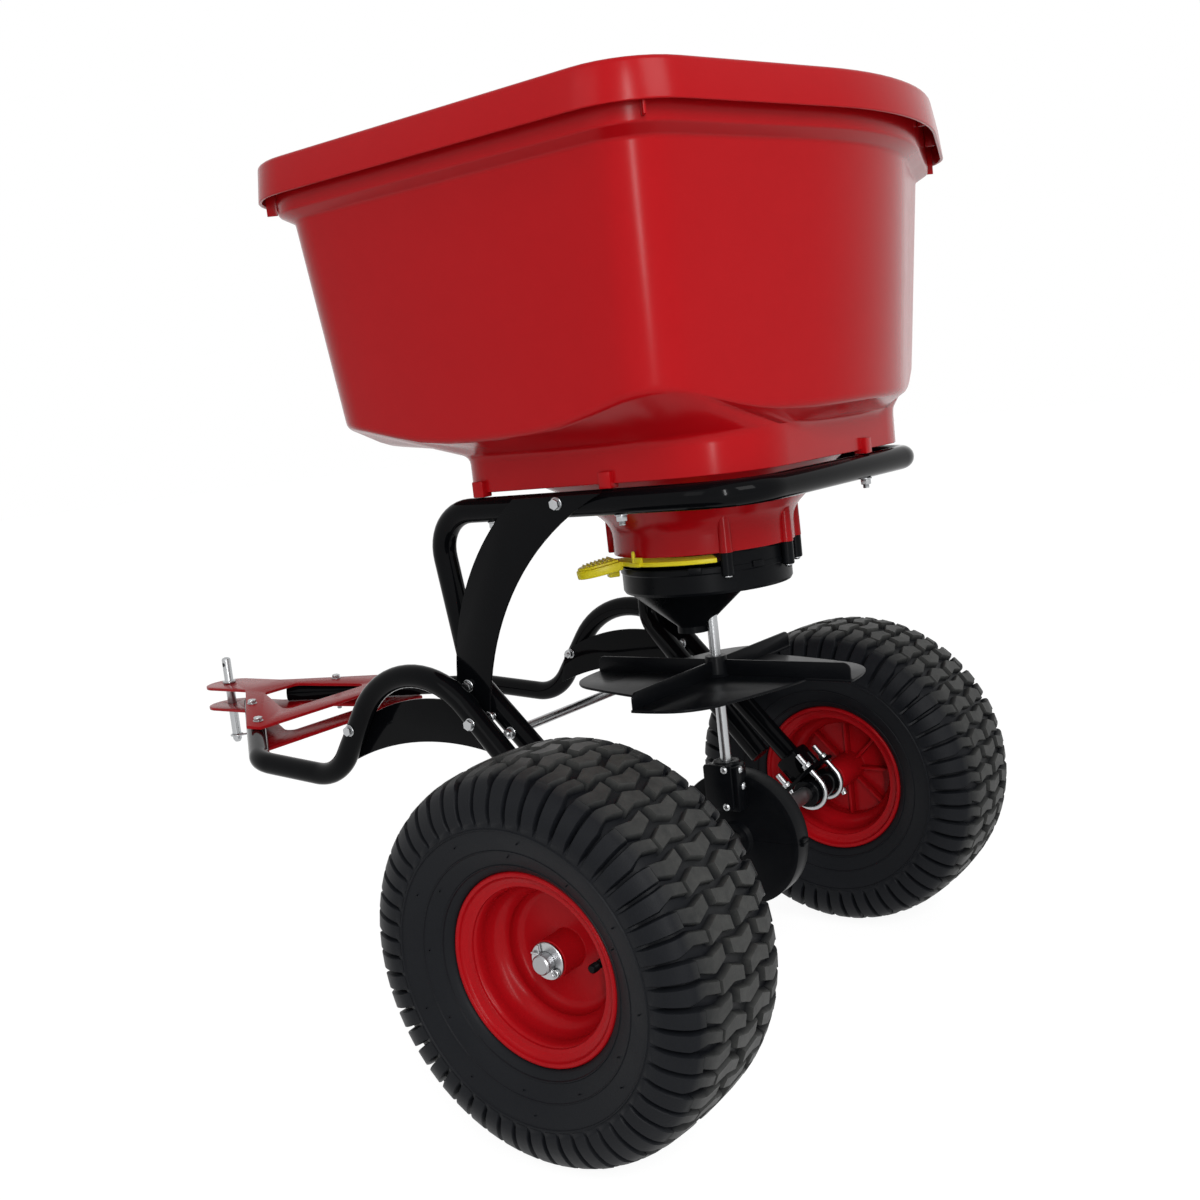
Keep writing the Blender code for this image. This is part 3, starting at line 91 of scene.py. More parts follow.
class Fixing(Enum):
    """Small fastener that shows on the outside."""

    BOLT = "hex head on a washer"
    NUT = "hex nut on a stud"
    SCREW = "pan head with a cross recess"


# Shared shader groups


class Wiring:
    """Node tree that is wired up node by node."""

    def __init__(self, tree: bpy.types.NodeTree) -> None:
        """Take the tree."""
        self.tree = tree

    def node(self, kind: str, feeds: dict | None = None, **options: object) -> bpy.types.Node:
        """Add a node.

        Args:
            kind: Type of the node, without the word that all shader nodes start with.
            feeds: Value or socket for each input, by name or number.
            options: Settings of the node.

        Returns:
            The node.
        """
        node = self.tree.nodes.new(f"ShaderNode{kind}")
        for word, option in options.items():
            setattr(node, word, option)
        self.feed(node, feeds or {})
        return node

    def feed(self, node: bpy.types.Node, feeds: dict) -> None:
        """Set or link a node's inputs."""
        for key, given in feeds.items():
            if isinstance(given, Socket):
                self.tree.links.new(given, node.inputs[key])
            else:
                node.inputs[key].default_value = given

    def spot(self) -> Socket:
        """Return the piece's own coordinates."""
        return self.node("TexCoord").outputs["Object"]

    def noise(self, spot: Socket, scale: Socket | float, detail: float, roughness: float) -> Socket:
        """Return a noise at a spot."""
        return self.node("TexNoise", {"Vector": spot, "Scale": scale, "Detail": detail,
                                      "Roughness": roughness}).outputs[0]

    def reckon(self, operation: str, first: Socket, second: Socket | float) -> Socket:
        """Return two values taken together."""
        return self.node("Math", {0: first, 1: second}, operation=operation).outputs[0]

    def stretch(self, given: Socket, low: Socket | float, high: Socket | float,
                to_low: Socket | float = 0.0, to_high: Socket | float = 1.0) -> Socket:
        """Return a value stretched from one range to another."""
        return self.node("MapRange", {"Value": given, "From Min": low, "From Max": high, "To Min": to_low,
                                      "To Max": to_high}).outputs[0]

    def tint(self, share: Socket, first: Socket, second: Socket) -> Socket:
        """Return a blend of two colours."""
        return self.node("Mix", {0: share, 6: first, 7: second}, data_type="RGBA").outputs[2]


class ShaderGroups:
    """Node groups that the finishes share, each built once."""

    def __init__(self) -> None:
        """Build the groups."""
        self.tone = self.tone_drift()
        self.grain = {Grain.PEEL: self.relief("orange_peel", self.peel),
                      Grain.PEBBLE: self.relief("moulded_pebble", self.pebble),
                      Grain.BRUSHED: self.relief("brushed_streaks", self.brushed)}
        self.dust = self.dust_film()
        # painted light on the tread tops of a tyre
        self.painted_tread_light = self.tread_painted_light()

    @staticmethod
    def start(name: str, inputs: dict[str, str], outputs: dict[str, str]) -> tuple:
        """Open a group with its sockets.

        Args:
            name: Name of the group.
            inputs: Types of the sockets that go in, by name.
            outputs: Types of the sockets that come out, by name.

        Returns:
            The group's wiring, the sockets that go in and the node that takes the result.
        """
        group = bpy.data.node_groups.new(name, "ShaderNodeTree")
        for way, sockets in (("INPUT", inputs), ("OUTPUT", outputs)):
            for word, kind in sockets.items():
                group.interface.new_socket(word, in_out=way, socket_type=kind)
        entry = group.nodes.new("NodeGroupInput")
        return Wiring(group), entry.outputs, group.nodes.new("NodeGroupOutput")

    def tone_drift(self) -> bpy.types.NodeTree:
        """Broad and fine drift between two tones, with a roughness that follows it."""
        net, entry, leave = self.start(
            "tone_drift", {"Base": COLOR, "Second": COLOR, "Scale": VALUE, "Amount": VALUE,
                           "Low Rough": VALUE, "High Rough": VALUE}, {"Color": COLOR, "Roughness": VALUE})
        spot = net.spot()
        broad = net.noise(spot, entry["Scale"], 3.0, 0.55)
        fine = net.noise(spot, net.reckon("MULTIPLY", entry["Scale"], 11.0), 5.0, 0.6)
        mask = net.stretch(net.node("Mix", {0: 0.35, 2: broad, 3: fine}).outputs[0], 0.32, 0.68)
        share = net.reckon("MULTIPLY", mask, entry["Amount"])
        net.feed(leave, {"Color": net.tint(share, entry["Base"], entry["Second"]),
                         "Roughness": net.stretch(mask, 0.0, 1.0, entry["Low Rough"], entry["High Rough"])})
        return net.tree

    def relief(self, name: str, height: Callable[[Wiring, Socket], Socket]) -> bpy.types.NodeTree:
        """Build a group that turns a height into a normal.

        Args:
            name: Name of the group.
            height: Function that draws the height at a scale.

        Returns:
            The group.
        """
        net, entry, leave = self.start(name, {"Scale": VALUE, "Strength": VALUE}, {"Normal": NORMAL})
        bump = net.node("Bump", {"Height": height(net, entry["Scale"]), "Strength": entry["Strength"],
                                 "Distance": 0.0005})
        net.feed(leave, {"Normal": bump.outputs[0]})
        return net.tree

    @staticmethod
    def peel(net: Wiring, scale: Socket) -> Socket:
        """Return the height of a soft orange peel."""
        return net.noise(net.spot(), scale, 2.0, 0.45)

    @staticmethod
    def pebble(net: Wiring, scale: Socket) -> Socket:
        """Return the height of a fine moulded pebble."""
        cells = net.node("TexVoronoi", {"Vector": net.spot(), "Scale": scale}, feature="SMOOTH_F1")
        return cells.outputs["Distance"]

    @staticmethod
    def brushed(net: Wiring, scale: Socket) -> Socket:
        """Return the height of streaks and turning marks."""
        along = net.node("Mapping", {"Vector": net.spot(), "Scale": (1.0, 0.08, 1.0)}).outputs[0]
        return net.noise(along, scale, 4.0, 0.7)

    def dust_film(self) -> bpy.types.NodeTree:
        """Thin dust that gathers on what faces up."""
        net, entry, leave = self.start(
            "dust_film", {"Color": COLOR, "Dust": COLOR, "Amount": VALUE, "Scale": VALUE}, {"Color": COLOR})
        facing = net.node("SeparateXYZ", {0: net.node("NewGeometry").outputs["Normal"]})
        upward = net.stretch(facing.outputs["Z"], -0.3, 1.0)
        patches = net.stretch(net.noise(net.spot(), entry["Scale"], 6.0, 0.65), 0.42, 0.75)
        share = net.reckon("MULTIPLY", net.reckon("MULTIPLY", upward, patches), entry["Amount"])
        net.feed(leave, {"Color": net.tint(share, entry["Color"], entry["Dust"])})
        return net.tree

    def tread_painted_light(self) -> bpy.types.NodeTree:
        """Painted light: grey that grows towards the tread of a tyre on the axle, so the tread tops read lit
        and the grooves keep a painted shade.
        """
        net, entry, leave = self.start(
            "tread_painted_light", {"Color": COLOR, "Painted Light": COLOR, "Low": VALUE, "High": VALUE, "Amount": VALUE},
            {"Color": COLOR})
        spot = net.spot()
        seated = net.node("VectorMath", {0: spot, 1: AXLE}, operation="SUBTRACT").outputs[0]
        across = net.node("VectorMath", {0: seated, 1: (0.0, 1.0, 1.0)}, operation="MULTIPLY").outputs[0]
        reach = net.node("VectorMath", {0: across}, operation="LENGTH").outputs["Value"]
        grow = net.stretch(reach, entry["Low"], entry["High"])
        patches = net.stretch(net.noise(spot, 90.0, 6.0, 0.7), 0.25, 0.70, 0.45)
        share = net.reckon("MULTIPLY", net.reckon("MULTIPLY", grow, patches), entry["Amount"])
        net.feed(leave, {"Color": net.tint(share, entry["Color"], entry["Painted Light"])})
        return net.tree


GROUPS = ShaderGroups()


@dataclass(frozen=True)
class Finish:
    """One surface finish and the name of the material slot it stands for."""

    name: str
    slot: str
    base: Color
    second: Color
    roughness: tuple[float, float]
    grain: Grain
    metallic: float = 0.0
    drift_scale: float = 9.0
    drift: float = 0.6
    grain_scale: float = 700.0
    grain_strength: float = 0.1
    dust: float = 0.0
    dust_color: Color = (0.30, 0.27, 0.23)
    dust_scale: float = 26.0
    coat: float = 0.0
    coat_roughness: float = 0.1
    gloss: float = 0.5
    # Painted light on a tyre's tread tops: its amount, its grey and the radii over which it grows.
    painted_tread_light: float = 0.0
    painted_light_color: Color = (0.070, 0.071, 0.067)
    painted_light_span: Spot = (0.1805, 0.1895)

    def material(self) -> bpy.types.Material:
        """Return the finish as a material, made the first time it is asked for."""
        found = bpy.data.materials.get(self.name)
        if found is not None:
            return found
        surface = bpy.data.materials.new(self.name)
        surface.use_nodes = True
        net = Wiring(surface.node_tree)
        tone = net.node("Group", {
            "Base": (*self.base, 1.0), "Second": (*self.second, 1.0), "Scale": self.drift_scale,
            "Amount": self.drift, "Low Rough": self.roughness[0], "High Rough": self.roughness[1],
        }, node_tree=GROUPS.tone)
        relief = net.node("Group", {"Scale": self.grain_scale, "Strength": self.grain_strength},
                          node_tree=GROUPS.grain[self.grain])
        color = tone.outputs["Color"]
        if self.dust > 0.0:
            color = net.node("Group", {
                "Color": color, "Dust": (*self.dust_color, 1.0), "Amount": self.dust,
                "Scale": self.dust_scale}, node_tree=GROUPS.dust).outputs["Color"]
        # Painted light: lighter grey on the tread tops, by distance from the axle, with the grooves left
        # darker as painted shade.
        if self.painted_tread_light > 0.0:
            low, high = self.painted_light_span
            color = net.node("Group", {
                "Color": color, "Painted Light": (*self.painted_light_color, 1.0), "Low": low, "High": high,
                "Amount": self.painted_tread_light}, node_tree=GROUPS.painted_tread_light).outputs["Color"]
        net.feed(net.tree.nodes["Principled BSDF"], {
            "Base Color": color, "Roughness": tone.outputs["Roughness"], "Normal": relief.outputs["Normal"],
            "Metallic": self.metallic, "Specular IOR Level": self.gloss, "Coat Weight": self.coat,
            "Coat Roughness": self.coat_roughness})
        return surface


RED_PLASTIC = Finish("hopper_red_plastic", "red_plastic", (0.370, 0.0034, 0.0062), (0.330, 0.0029, 0.0052),
                     (0.19, 0.26), Grain.PEEL, drift_scale=5.0, grain_scale=520.0, grain_strength=0.03,
                     gloss=0.13)
RED_ENAMEL = Finish("red_enamel", "red_paint", (0.36, 0.0042, 0.0076), (0.31, 0.0035, 0.0062), (0.22, 0.32),
                    Grain.PEEL, drift_scale=14.0, grain_scale=380.0, grain_strength=0.07, coat=0.01,
                    coat_roughness=0.18, dust=0.004, gloss=0.08)
BLACK_POWDER = Finish("black_powder_coat", "black_paint", (0.0018, 0.0020, 0.0026), (0.0030, 0.0033, 0.0040),
                      (0.08, 0.14), Grain.PEEL, drift_scale=16.0, grain_scale=620.0, grain_strength=0.03,
                      coat=0.06, coat_roughness=0.02, dust=0.003, gloss=0.03)
BLACK_NYLON = Finish("black_nylon", "black_plastic", (0.0026, 0.0030, 0.0038), (0.0048, 0.0053, 0.0064),
                     (0.26, 0.38), Grain.PEBBLE, drift_scale=12.0, grain_scale=900.0, grain_strength=0.08,
                     dust=0.004, gloss=0.06)
# The tyre's tread tops get painted light, a lighter grey than its grooves.
TYRE_RUBBER = Finish("tyre_rubber", "rubber", (0.0050, 0.0057, 0.0074), (0.0088, 0.0096, 0.0114),
                     (0.38, 0.56), Grain.PEBBLE, drift_scale=18.0, grain_scale=650.0,
                     grain_strength=0.18, dust=0.02, dust_color=(0.07, 0.069, 0.064), gloss=0.10,
                     painted_tread_light=0.72)
YELLOW_PLASTIC = Finish("lever_yellow_plastic", "yellow_plastic", (0.76, 0.66, 0.012), (0.68, 0.57, 0.010),
                        (0.30, 0.42), Grain.PEEL, drift_scale=20.0, grain_scale=600.0,
                        grain_strength=0.06, gloss=0.30)
ZINC = Finish("bright_zinc", "zinc", (0.43, 0.44, 0.45), (0.33, 0.33, 0.325), (0.22, 0.38), Grain.BRUSHED,
              metallic=1.0, drift_scale=22.0, drift=0.15, grain_scale=1400.0, grain_strength=0.012)
STEEL = Finish("drawn_steel", "steel", (0.34, 0.34, 0.35), (0.24, 0.235, 0.23), (0.26, 0.44), Grain.BRUSHED,
               metallic=1.0, drift_scale=22.0, drift=0.2, grain_scale=1200.0, grain_strength=0.02)


# Modelling bench


def clear() -> None:
    """Leave edit mode and let go of everything."""
    if bpy.context.object is not None and bpy.context.object.mode != "OBJECT":
        bpy.ops.object.mode_set(mode="OBJECT")
    bpy.ops.object.select_all(action="DESELECT")


def take(*pieces: Piece) -> None:
    """Select pieces and make the first of them active."""
    clear()
    for piece in pieces:
        piece.select_set(True)
    bpy.context.view_layer.objects.active = pieces[0]


def edit(piece: Piece) -> None:
    """Open a piece in edit mode with all of it selected."""
    take(piece)
    bpy.ops.object.mode_set(mode="EDIT")
    bpy.ops.mesh.select_mode(type="VERT")
    bpy.ops.mesh.select_all(action="SELECT")


def close() -> None:
    """Turn all faces outwards and leave edit mode."""
    bpy.ops.mesh.select_all(action="SELECT")
    bpy.ops.mesh.normals_make_consistent(inside=False)
    bpy.ops.object.mode_set(mode="OBJECT")


def remove(*pieces: Piece) -> None:
    """Remove pieces that are used up."""
    for piece in pieces:
        bpy.data.objects.remove(piece, do_unlink=True)


def loop_of(points: list[Vector]) -> Piece:
    """Shape a circle into a closed loop.

    Args:
        points: Places of the loop's points, in order.

    Returns:
        The loop, with no faces yet.
    """
    clear()
    bpy.ops.mesh.primitive_circle_add(vertices=len(points), radius=1.0, fill_type="NOTHING")
    piece = bpy.context.object
    for vert, point in zip(piece.data.vertices, points):
        vert.co = point
    return piece


def extrude_to(piece: Piece, order: list[int], points: list[Vector]) -> list[int]:
    """Extrude the selected loop and move the new loop to its places.

    Args:
        piece: Piece that is open in edit mode.
        order: Point numbers of the selected loop, in order.
        points: Places for the new loop, in the same order.

    Returns:
        Point numbers of the new loop.
    """
    bpy.ops.mesh.extrude_edges_move()
    form = bmesh.from_edit_mesh(piece.data)
    form.verts.index_update()
    form.verts.ensure_lookup_table()
    fresh = {}
    for vert in form.verts:
        if not vert.select:
            continue
        for edge in vert.link_edges:
            other = edge.other_vert(vert)
            if not other.select:
                fresh[other.index] = vert.index
    following = [fresh[number] for number in order]
    for number, point in zip(following, points):
        form.verts[number].co = point
    bmesh.update_edit_mesh(piece.data)
    return following


def loft(rings: list[list[Vector]], closed: bool = False) -> Piece:
    """Extrude a loop through a row of loops.

    Args:
        rings: Loops with the same number of points.
        closed: True where the last loop meets the first. Otherwise both ends are capped.

    Returns:
        The finished skin.
    """
    piece = loop_of(rings[0])
    edit(piece)
    order = list(range(len(rings[0])))
    for points in rings[1:] + (rings[:1] if closed else []):
        order = extrude_to(piece, order, points)
    bpy.ops.mesh.select_all(action="SELECT")
    if closed:
        bpy.ops.mesh.remove_doubles(threshold=MERGE)
    else:
        bpy.ops.mesh.fill_holes(sides=0)
    close()
    return piece


def spun(profile: list[Spot], axis: Axis, steps: int = 48, centre: Vector = Vector()) -> Piece:
    """Spin a closed profile once round.

    Args:
        profile: Points given as radius and height along the axis.
        axis: Line to spin about.
        steps: Facets round the axis.
        centre: Point on the axis where the height is 0.

    Returns:
        The turned piece.
    """
    along, out = (Vector(part) for part in axis.value)
    piece = loop_of([centre + along * height + out * radius for radius, height in profile])
    edit(piece)
    bpy.ops.mesh.spin(steps=steps, angle=2 * pi, center=centre, axis=along)
    bpy.ops.mesh.select_all(action="SELECT")
    bpy.ops.mesh.remove_doubles(threshold=MERGE)
    bpy.ops.mesh.dissolve_degenerate(threshold=MERGE / 2)
    bpy.ops.mesh.delete_loose(use_verts=True, use_edges=True, use_faces=False)
    close()
    return piece


def tube(path: list[Vector], radius: float, sides: int) -> Piece:
    """Sweep a round section along a path.

    Args:
        path: Points along the middle of the tube.
        radius: Outer radius.
        sides: Facets round the section.

    Returns:
        The tube, with capped ends that have a slight chamfer.
    """
    last = len(path) - 1
    turns = [2 * pi * k / sides for k in range(sides)]
    rings = []
    side = None
    for i, spot in enumerate(path):
        along = (path[min(i + 1, last)] - path[max(i - 1, 0)]).normalized()
        if side is None:
            side = along.orthogonal().normalized()
        side = (side - along * side.dot(along)).normalized()
        up = along.cross(side)
        reach = [side * cos(t) + up * sin(t) for t in turns]
        if i in (0, last):
            step = along * (0.08 * radius if i == 0 else -0.08 * radius)
            edge = [[spot + way * radius * 0.9 for way in reach],
                    [spot + step + way * radius for way in reach]]
            rings.extend(edge if i == 0 else edge[::-1])
        else:
            rings.append([spot + way * radius for way in reach])
    return loft(rings)


def cut_plate(outline: list[Spot], thickness: float, bevel: float = 0.0006,
              holes: tuple[list[Spot], ...] = ()) -> Piece:
    """Cut a flat plate, centred on its own plane.

    Args:
        outline: Points of the outer edge.
        thickness: Thickness of the plate.
        bevel: Width of its edge rounding.
        holes: Outlines that are cut out.

    Returns:
        The plate, lying in the XY plane.
    """
    piece = prism(outline, thickness)
    for hole in holes:
        cut(piece, prism(hole, 4 * thickness))
    if bevel > 0.0:
        round_edges(piece, bevel)
    return piece


def prism(outline: list[Spot], height: float) -> Piece:
    """Extrude an outline evenly to both sides of the XY plane."""
    piece = loop_of([Vector((x, y, -height / 2)) for x, y in outline])
    edit(piece)
    bpy.ops.mesh.edge_face_add()
    bpy.ops.mesh.extrude_region_move(TRANSFORM_OT_translate={"value": (0.0, 0.0, height)})
    close()
    return piece


def block(size: Size, bevel: float) -> Piece:
    """Make a block with rounded edges at the origin."""
    clear()
    bpy.ops.mesh.primitive_cube_add(size=1.0)
    piece = bpy.context.object
    piece.data.transform(Matrix.Diagonal((*size, 1.0)))
    round_edges(piece, bevel)
    return piece


def round_edges(piece: Piece, width: float, segments: int = 2, angle: float = 30.0) -> None:
    """Round the edges that are sharper than an angle."""
    take(piece)
    mod = piece.modifiers.new("edge", "BEVEL")
    mod.width = width
    mod.segments = segments
    mod.limit_method = "ANGLE"
    mod.angle_limit = radians(angle)
    bpy.ops.object.modifier_apply(modifier=mod.name)


def cut(piece: Piece, helper: Piece) -> None:
    """Cut a helper, which is used up, out of a piece."""
    mod = piece.modifiers.new("cut", "BOOLEAN")
    mod.operation = "DIFFERENCE"
    mod.object = helper
    take(piece)
    bpy.ops.object.modifier_apply(modifier=mod.name)
    remove(helper)


def move(piece: Piece, matrix: Matrix) -> Piece:
    """Move a piece's mesh and return the piece."""
    piece.data.transform(matrix)
    if matrix.is_negative:
        piece.data.flip_normals()
    return piece


def copy(piece: Piece, matrix: Matrix) -> Piece:
    """Copy a piece with a mesh of its own and move the copy."""
    twin = piece.copy()
    twin.data = piece.data.copy()
    bpy.context.scene.collection.objects.link(twin)
    return move(twin, matrix)


def join(pieces: list[Piece]) -> Piece:
    """Make one piece of several."""
    take(*pieces)
    if len(pieces) > 1:
        bpy.ops.object.join()
    return pieces[0]


def done(piece: Piece, name: str, finish: Finish, body: str, nodes: tuple[str, ...] = (),
         angle: float = 32.0) -> None:
    """Name, dress and seat a finished piece.

    Args:
        piece: Piece drawn from the axle's centre.
        name: Name of the piece.
        finish: Its finish.
        body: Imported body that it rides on.
        nodes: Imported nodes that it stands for.
        angle: Edges sharper than this stay sharp.
    """
    piece.data.transform(Matrix.Translation(AXLE))
    piece.name = name
    piece.data.name = name
    piece.data.materials.clear()
    piece.data.materials.append(finish.material())
    take(piece)
    bpy.ops.object.shade_smooth_by_angle(angle=radians(angle))
    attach(piece, body)
    if nodes:
        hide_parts(*nodes)
    LOG.info("%s: %d faces on %s", name, len(piece.data.polygons), body)


# Paths and outlines


def round_corner(before: Vector, spot: Vector, after: Vector, reach: float, steps: int,
                 by_length: bool = False) -> Walk:
    """Round one corner of a path.

    Args:
        before: Corner before this one.
        spot: The corner.
        after: Corner after this one.
        reach: Radius, or the length of the rounding along each side.
        steps: Pieces of the rounding.
        by_length: True where reach is a length.

    Returns:
        Points with their outward normals.
    """
    to_before = (before - spot).normalized()
    to_after = (after - spot).normalized()
    half = to_before.angle(to_after) / 2
    radius = reach * math.tan(half) if by_length else reach
    center = spot + (to_before + to_after).normalized() * (radius / sin(half))
    start = (spot + to_before * (radius / math.tan(half)) - center).normalized()
    end = (spot + to_after * (radius / math.tan(half)) - center).normalized()
    sweep = start.angle(end)
    arc = []
    for step in range(steps + 1):
        share = step / steps
        normal = (start * sin((1 - share) * sweep) + end * sin(share * sweep)).normalized()
        arc.append((center + normal * radius, normal))
    return arc


def fillet(points: list[Vector], radii: list[float], steps: int = 10) -> list[Vector]:
    """Round the corners of an open path.

    Args:
        points: Corner points, ends included.
        radii: Bend radius of each inner corner.
        steps: Pieces of each bend.

    Returns:
        The rounded path.
    """
    path = [points[0]]
    for before, corner, after, radius in zip(points, points[1:], points[2:], radii):
        path += [spot for spot, _ in round_corner(before, corner, after, radius, steps)]
    return [*path, points[-1]]


def arc_through(first: Spot, middle: Spot, last: Spot, steps: int) -> list[Spot]:
    """Return points along the circle through three points in a plane."""
    (ax, ay), (bx, by), (cx, cy) = first, middle, last
    area = 2 * (ax * (by - cy) + bx * (cy - ay) + cx * (ay - by))
    ux = ((ax**2 + ay**2) * (by - cy) + (bx**2 + by**2) * (cy - ay) + (cx**2 + cy**2) * (ay - by)) / area
    uy = ((ax**2 + ay**2) * (cx - bx) + (bx**2 + by**2) * (ax - cx) + (cx**2 + cy**2) * (bx - ax)) / area
    radius = math.hypot(ax - ux, ay - uy)
    start = math.atan2(ay - uy, ax - ux)
    sweep = (math.atan2(cy - uy, cx - ux) - start + pi) % (2 * pi) - pi
    turns = [start + sweep * i / steps for i in range(steps + 1)]
    return [(ux + radius * cos(t), uy + radius * sin(t)) for t in turns]


def circle(center: Spot, radius: float, steps: int = 32) -> list[Spot]:
    """Return points round a circle in a plane."""
    turns = [2 * pi * i / steps for i in range(steps)]
    return [(center[0] + radius * cos(t), center[1] + radius * sin(t)) for t in turns]


def polar(radius: float, degrees: float, height: float = 0.0) -> Vector:
    """Return a point at a radius and an azimuth."""
    turn = radians(degrees)
    return Vector((radius * cos(turn), radius * sin(turn), height))


def smooth_line(knots: list[Spot], steps: int) -> list[Spot]:
    """Return a smooth line through knots, with steps points between each two."""
    ends = [knots[0], *knots, knots[-1]]
    line = []
    for a, b, c, d in zip(ends, ends[1:], ends[2:], ends[3:]):
        for i in range(steps):
            t = i / steps
            line.append(tuple(
                0.5 * (2 * q + (r - p) * t + (2 * p - 5 * q + 4 * r - s) * t**2
                       + (3 * q - p - 3 * r + s) * t**3)
                for p, q, r, s in zip(a, b, c, d)))
    line.append(knots[-1])
    return line


def along_knots(place: float, knots: tuple[tuple[float, ...], ...]) -> list[float]:
    """Return the values at a place on a broken line.

    Args:
        place: Where to look.
        knots: Place and values of each corner, in order.

    Returns:
        The values, held at both ends.
    """
    if place <= knots[0][0]:
        return list(knots[0][1:])
    for low, high in zip(knots, knots[1:]):
        if place <= high[0]:
            share = (place - low[0]) / (high[0] - low[0])
            return [a + (b - a) * share for a, b in zip(low[1:], high[1:])]
    return list(knots[-1][1:])


def at(x: float, y: float, z: float) -> Matrix:
    """Return the matrix that shifts a piece."""
    return Matrix.Translation((x, y, z))


def spin(degrees: float, axis: str) -> Matrix:
    """Return the matrix that turns a piece about an axis of the drawing."""
    return Matrix.Rotation(radians(degrees), 4, axis)


def aim(spot: Vector, way: Vector) -> Matrix:
    """Return the matrix that stands a piece's Z axis on a spot, pointing a way."""
    return Matrix.Translation(spot) @ way.to_track_quat("Z", "Y").to_matrix().to_4x4()


def rod(radius: float, bottom: float, top: float, chamfer: float) -> list[Spot]:
    """Return the profile of a solid round bar with chamfered ends."""
    return [(0.0, top), (radius - chamfer, top), (radius, top - chamfer), (radius, bottom + chamfer),
            (radius - chamfer, bottom), (0.0, bottom)]


def washer(inner: float, outer: float, bottom: float, top: float, chamfer: float) -> list[Spot]:
    """Return the profile of a ring with chamfered outer edges."""
    return [(inner, top), (outer - chamfer, top), (outer, top - chamfer), (outer, bottom + chamfer),
            (outer - chamfer, bottom), (inner, bottom)]


@dataclass
class FixingTray:
    """Bolts, nuts and screws, each modelled once and copied to where it sits."""

    across_flats: float = 0.0100
    head_height: float = 0.0044
    head_seat: float = 0.0013
    washer_radius: float = 0.0066
    stud_radius: float = 0.0034
    stud_reach: float = 0.0052
    screw_radius: float = 0.0042
    masters: dict[Fixing, Piece] = field(default_factory=dict)

    def hexagon(self, height: float) -> Piece:
        """Make a hex prism with softened corners, standing on its seat."""
        clear()
        bpy.ops.mesh.primitive_cylinder_add(vertices=6, radius=self.across_flats / math.sqrt(3),
                                            depth=height, location=(0.0, 0.0, height / 2 + self.head_seat))
        piece = bpy.context.object
        bpy.ops.object.transform_apply(location=True, rotation=False, scale=False)
        round_edges(piece, 0.0006)
        return piece

    def threaded(self, bottom: float, top: float, pitch: float = 0.00125) -> Piece:
        """Make a stud whose thread shows as fine rings."""
        root = self.stud_radius - 0.00045
        profile = [(0.0, top), (root, top)]
        height = top - 0.0004
        while height - pitch > bottom:
            profile += [(self.stud_radius, height - pitch / 2), (root, height - pitch)]
            height -= pitch
        profile += [(root, bottom), (0.0, bottom)]
        return spun(profile, Axis.Z, 20)

    def master(self, kind: Fixing) -> Piece:
        """Return the first copy of a fastener, made when it is first asked for."""
        if kind in self.masters:
            return self.masters[kind]
        base = spun(washer(0.001, self.washer_radius, 0.0, 0.0014, 0.0004), Axis.Z, 28)
        if kind is Fixing.BOLT:
            piece = join([base, self.hexagon(self.head_height)])
        elif kind is Fixing.NUT:
            height = self.head_height + 0.0012
            piece = join([base, self.hexagon(height), self.threaded(0.001, height + self.stud_reach)])
        else:
            remove(base)
            reach = self.screw_radius
            dome = [(0.0, 0.62 * reach), (0.45 * reach, 0.58 * reach), (0.8 * reach, 0.42 * reach),
                    (reach, 0.16 * reach), (reach, -0.0006), (0.0, -0.0006)]
            piece = spun(dome, Axis.Z, 24)
            for turn in (0.0, pi / 2):
                slot = block((1.1 * reach, 0.24 * reach, 0.7 * reach), 0.0001)
                move(slot, Matrix.Rotation(turn, 4, "Z") @ at(0, 0, 0.62 * reach))
                cut(piece, slot)
        self.masters[kind] = piece
        return piece

    def set_of(self, name: str, body: str,
               places: list[tuple[Fixing, Vector, Vector]], scale: float = 1.0) -> None:
        """Copy fasteners to their places as one piece.

        Args:
            name: Name of the piece.
            body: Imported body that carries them.
            places: Kind, seat and outward direction of each.
            scale: Size against the usual one.
        """
        copies = [copy(self.master(kind), aim(spot, way) @ Matrix.Scale(scale, 4))
                  for kind, spot, way in places]
        done(join(copies), name, ZINC, body, angle=28.0)

    def put_away(self) -> None:
        """Remove the first copies."""
        remove(*self.masters.values())


TRAY = FixingTray()


# Hopper


